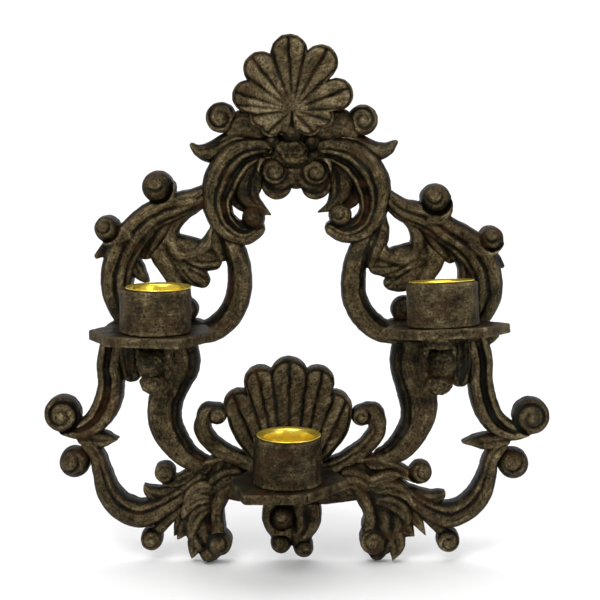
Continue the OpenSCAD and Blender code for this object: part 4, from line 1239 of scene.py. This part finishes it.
def wood(tone, lift, streak=0.85):
    """Near-black stain, dry-brushed tan wherever the carving stands proud, and painted shade darkening the
    cuts, creases and side walls.
    """
    s = Shader(tone + "_wood")
    grain = s.attribute("grain", vector=True)
    along = s.scaled(grain, (0.14, 1.0, 0.5))
    blotch = s.noise(s.mm, 16.0, 3.0)
    mottle = s.noise(s.mm, 5.0, 5.0, 0.66, 0.8)
    speck = s.noise(s.mm, 1.15, 3.0, 0.6)
    streaks = s.noise(along, 1.9, 4.0, 0.62, 0.5)
    pits = s.span(s.noise(s.mm, 1.7, 2.0, 0.5), 0.36, 0.46)
    # Painted shade: the colour is darker where a surface turns away from the front.
    facing = s.add("ShaderNodeSeparateXYZ")
    s.join(s.add("ShaderNodeNewGeometry").outputs["Normal"], facing.inputs[0])
    front = s.maths("MULTIPLY", facing.outputs["Y"], -1.0)
    # Dark stain and painted shade in the cuts and down the walls, from the relief value, with a little
    # dry-brushed tan where it stands proud.
    stain_brushing_and_shade = s.span(s.attribute("relief"), -3.4, -0.2, -0.42, 0.04)
    # Rubbed, paler arrises, and painted shade darkening the creases.
    edge = s.span(s.attribute("corner"), -0.35, 0.8, -0.30, 0.20)
    # The sum is stain and wear from the noises, with the painted shade in the cuts, creases and side walls
    # added in.
    wear_and_shade = s.total((stain_brushing_and_shade, 1.0, 0.0), (edge, 1.0, 0.0), (blotch, 1.05, 0.5), (mottle, 0.95, 0.5),
                   (speck, 0.42, 0.5), (streaks, streak, 0.5), (pits, 0.26, 0.92), (front, 0.22, 0.7))
    wear_and_shade = s.maths("ADD", wear_and_shade, s.attribute("shift"))
    wear_and_shade = s.maths("ADD", wear_and_shade, lift, clamp=True)
    colour = s.ramp(wear_and_shade, [(0.0, PITCH_BLACK), (0.2, STAIN), (0.4, BROWN), (0.58, UMBER), (0.78, TAN),
                           (1.0, BUFF)])
    rust = s.span(s.noise(s.scaled(s.mm, (1, 1, 1.3)), 21.0, 2.0), 0.54, 0.66)
    rust = s.maths("MULTIPLY", rust, s.span(wear_and_shade, 0.2, 0.5, 0.5, 0.15))
    colour = s.blend(rust, colour, RUST)
    moss = s.span(s.noise(s.scaled(s.mm, (1.2, 1, 1)), 27.0, 2.0), 0.56, 0.68)
    moss = s.maths("MULTIPLY", moss, s.span(wear_and_shade, 0.15, 0.55, 0.6, 0.05))
    colour = s.blend(moss, colour, MOSS)
    s.join(colour, s.surface.inputs["Base Color"])
    s.join(s.span(s.total((wear_and_shade, 0.25, 0.0), (mottle, 0.35, 0.5)), -0.05, 0.3, 0.38, 0.7),
           s.surface.inputs["Roughness"])
    s.surface.inputs["Specular IOR Level"].default_value = 0.07
    s.bump(s.total((mottle, 0.9, 0.5), (speck, 0.9, 0.5), (streaks, 0.8, 0.5), (pits, 0.6, 0.5)), 0.5)
    return s.material


def brass():
    s = Shader("polished_brass")
    swirl = s.noise(s.scaled(s.mm, (1, 1, 8)), 3.0, 3.0)
    haze = s.noise(s.mm, 14.0, 3.0)
    colour = s.ramp(s.span(haze, 0.35, 0.65), [(0.0, (0.76, 0.56, 0.05)), (1.0, (0.87, 0.68, 0.12))])
    s.join(colour, s.surface.inputs["Base Color"])
    s.surface.inputs["Metallic"].default_value = 0.8
    s.join(s.span(s.total((haze, 1.0, 0.5), (swirl, 0.5, 0.5)), -0.4, 0.4, 0.18, 0.3),
           s.surface.inputs["Roughness"])
    s.bump(swirl, 0.02, 0.5)
    return s.material


def zinc():
    s = Shader("zinc_plate")
    flakes = s.cells(s.mm, 2.6)
    haze = s.noise(s.mm, 6.0, 3.0)
    colour = s.ramp(s.span(haze, 0.3, 0.7), [(0.0, (0.40, 0.40, 0.39)), (1.0, (0.60, 0.60, 0.58))])
    s.join(colour, s.surface.inputs["Base Color"])
    s.surface.inputs["Metallic"].default_value = 1.0
    s.join(s.span(flakes, 0.0, 0.6, 0.3, 0.48), s.surface.inputs["Roughness"])
    s.bump(haze, 0.05, 0.6)
    return s.material


# The shadow tone is the same wood made darker through a lower lift, as painted shade.
WOOD = {"carved": wood("carved", 0.53), "sawn": wood("sawn", 0.55, streak=0.75),
        "shadow": wood("shadow", 0.32)}
BRASS, ZINC = brass(), zinc()

# ---------------------------------------------------------------- the object
SCREW_ROWS = {"shelf_seat_left": "left", "shelf_seat_right": "right", "base_rail": "lower"}
CREST_LAP = 8.08         # the crest shell's back stands this far in front of the wall, mm


def screw_holes(side):
    """Centres of the two holes for the screws into a shelf, which lie along its lean."""
    block_x, _, top, _, pitch, roll = PLACES[side]
    rows = []
    for dx in (-SHELF_SCREW_STEP, SHELF_SCREW_STEP):
        fall = (CUP_REACH - SEAT - 8)*math.sin(math.radians(pitch)) - dx*math.sin(math.radians(roll))
        rows.append((block_x + dx, top - SHELF_T/2 - fall))
    return rows


# Each piece has its own seed, so that no two carry the same tool marks.
SECTION_SEED, ROSETTE_SEED, SHELF_SEED, BLOCK_SEED, CORBEL_SEED = 100, 900, 910, 915, 950

for number, (node, spec) in enumerate(SECTIONS.items()):
    rel = carved(node, spec, SECTION_SEED + 7*number)
    options = {}
    if node == "crest_shell":
        options["back"] = CREST_LAP
    if node == "crest_ground":
        options["pockets"] = HANGER_POCKETS
    if node in SCREW_ROWS:
        options["holes"] = screw_holes(SCREW_ROWS[node])
    settle(build_relief(rel, TONE_SHIFT.get(node, 0.0), **options), node, layer(node)[1])

build_rosette(ROSETTE_SEED)
for number, side in enumerate(PLACES):
    build_shelf(side, SHELF_SEED + 10*number)
    build_block(side, BLOCK_SEED + 10*number)
    build_cup(side)
for number, side in enumerate(BUDS):
    build_corbel(side, CORBEL_SEED + 10*number)

# The steel pieces are shown as the CAD has them.
for node in ("hanger_plate", "hanger_screws", "shelf_screws", "block_screws"):
    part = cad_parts[node]
    for slot in part.material_slots:
        slot.material = ZINC
    if not part.data.materials:
        part.data.materials.append(ZINC)

# ---------------------------------------------------------------- stage, camera, lights
# Metres, in the part's frame. The camera's slope follows from the flatness of the cup rims in the photo.
FLOOR_Z = cad_bounds[0][2] - 0.0003
SWEEP_Y, SWEEP_R, STAGE_HALF, STAGE_FRONT, STAGE_TOP = 1.0, 0.8, 4.0, -3.0, 3.0
CAMERA_PLACE = (0.0041, -1.0593, 0.0186)
CAMERA_SLOPE = 8.2       # degrees down from level
SENSOR, LENS = 36.0, 76.8   # mm
MIDDLE = (0, 0, -0.15)   # what the lights in front are aimed at
SOFT_LIGHTS = [          # name, place, aim, size, watts
    ("key", (-0.5, -1.5, 1.25), MIDDLE, (1.0, 0.8), 22),
    ("fill", (1.2, -1.3, 0.4), MIDDLE, (1.0, 1.0), 7),
    ("sky", (0, 0.2, 2.2), (0, 0.6, -0.3), (2.6, 2.6), 42),
]
AMBIENT = 0.55           # strength of the white all round


def build_stage():
    profile = [(STAGE_FRONT, FLOOR_Z), (SWEEP_Y, FLOOR_Z)]
    profile += [(SWEEP_Y + SWEEP_R*math.sin(a), FLOOR_Z + SWEEP_R*(1 - math.cos(a)))
                for a in np.linspace(0, math.pi/2, 17)[1:]]
    profile += [(SWEEP_Y + SWEEP_R, STAGE_TOP)]
    points = [(x, y, z) for y, z in profile for x in (-STAGE_HALF, STAGE_HALF)]
    faces = [(2*k, 2*k + 1, 2*k + 3, 2*k + 2) for k in range(len(profile) - 1)]
    mesh = bpy.data.meshes.new("pale_floor")
    mesh.from_pydata(points, [], faces)
    mesh.shade_smooth()
    s = Shader("pale_paper")
    tone = s.ramp(s.noise(s.mm, 400.0, 2.0), [(0.3, (0.86, 0.86, 0.86)), (0.7, (0.9, 0.9, 0.9))])
    s.join(tone, s.surface.inputs["Base Color"])
    s.surface.inputs["Roughness"].default_value = 0.9
    mesh.materials.append(s.material)
    floor = placed("pale_floor", mesh)


def build_camera():
    data = bpy.data.cameras.new("camera")
    data.sensor_width = SENSOR
    data.lens = LENS
    camera = placed("camera", data)
    camera.location = CAMERA_PLACE
    camera.rotation_euler = (math.radians(90 - CAMERA_SLOPE), 0, 0)
    bpy.context.scene.camera = camera


def soft_light(name, place, aim, size, power):
    data = bpy.data.lights.new(name, "AREA")
    data.shape = "RECTANGLE"
    data.size, data.size_y = size
    data.energy = power
    light = placed(name, data)
    light.location = place
    way = mathutils.Vector(aim) - mathutils.Vector(place)
    light.rotation_euler = way.to_track_quat("-Z", "Y").to_euler()


def build_lights():
    world = bpy.data.worlds.new("studio")
    world.use_nodes = True
    background = world.node_tree.nodes["Background"]
    background.inputs["Color"].default_value = (1, 1, 1, 1)
    background.inputs["Strength"].default_value = AMBIENT
    bpy.context.scene.world = world
    bpy.context.scene.view_settings.view_transform = "Standard"
    for light in SOFT_LIGHTS:
        soft_light(*light)


build_stage()
build_camera()
build_lights()
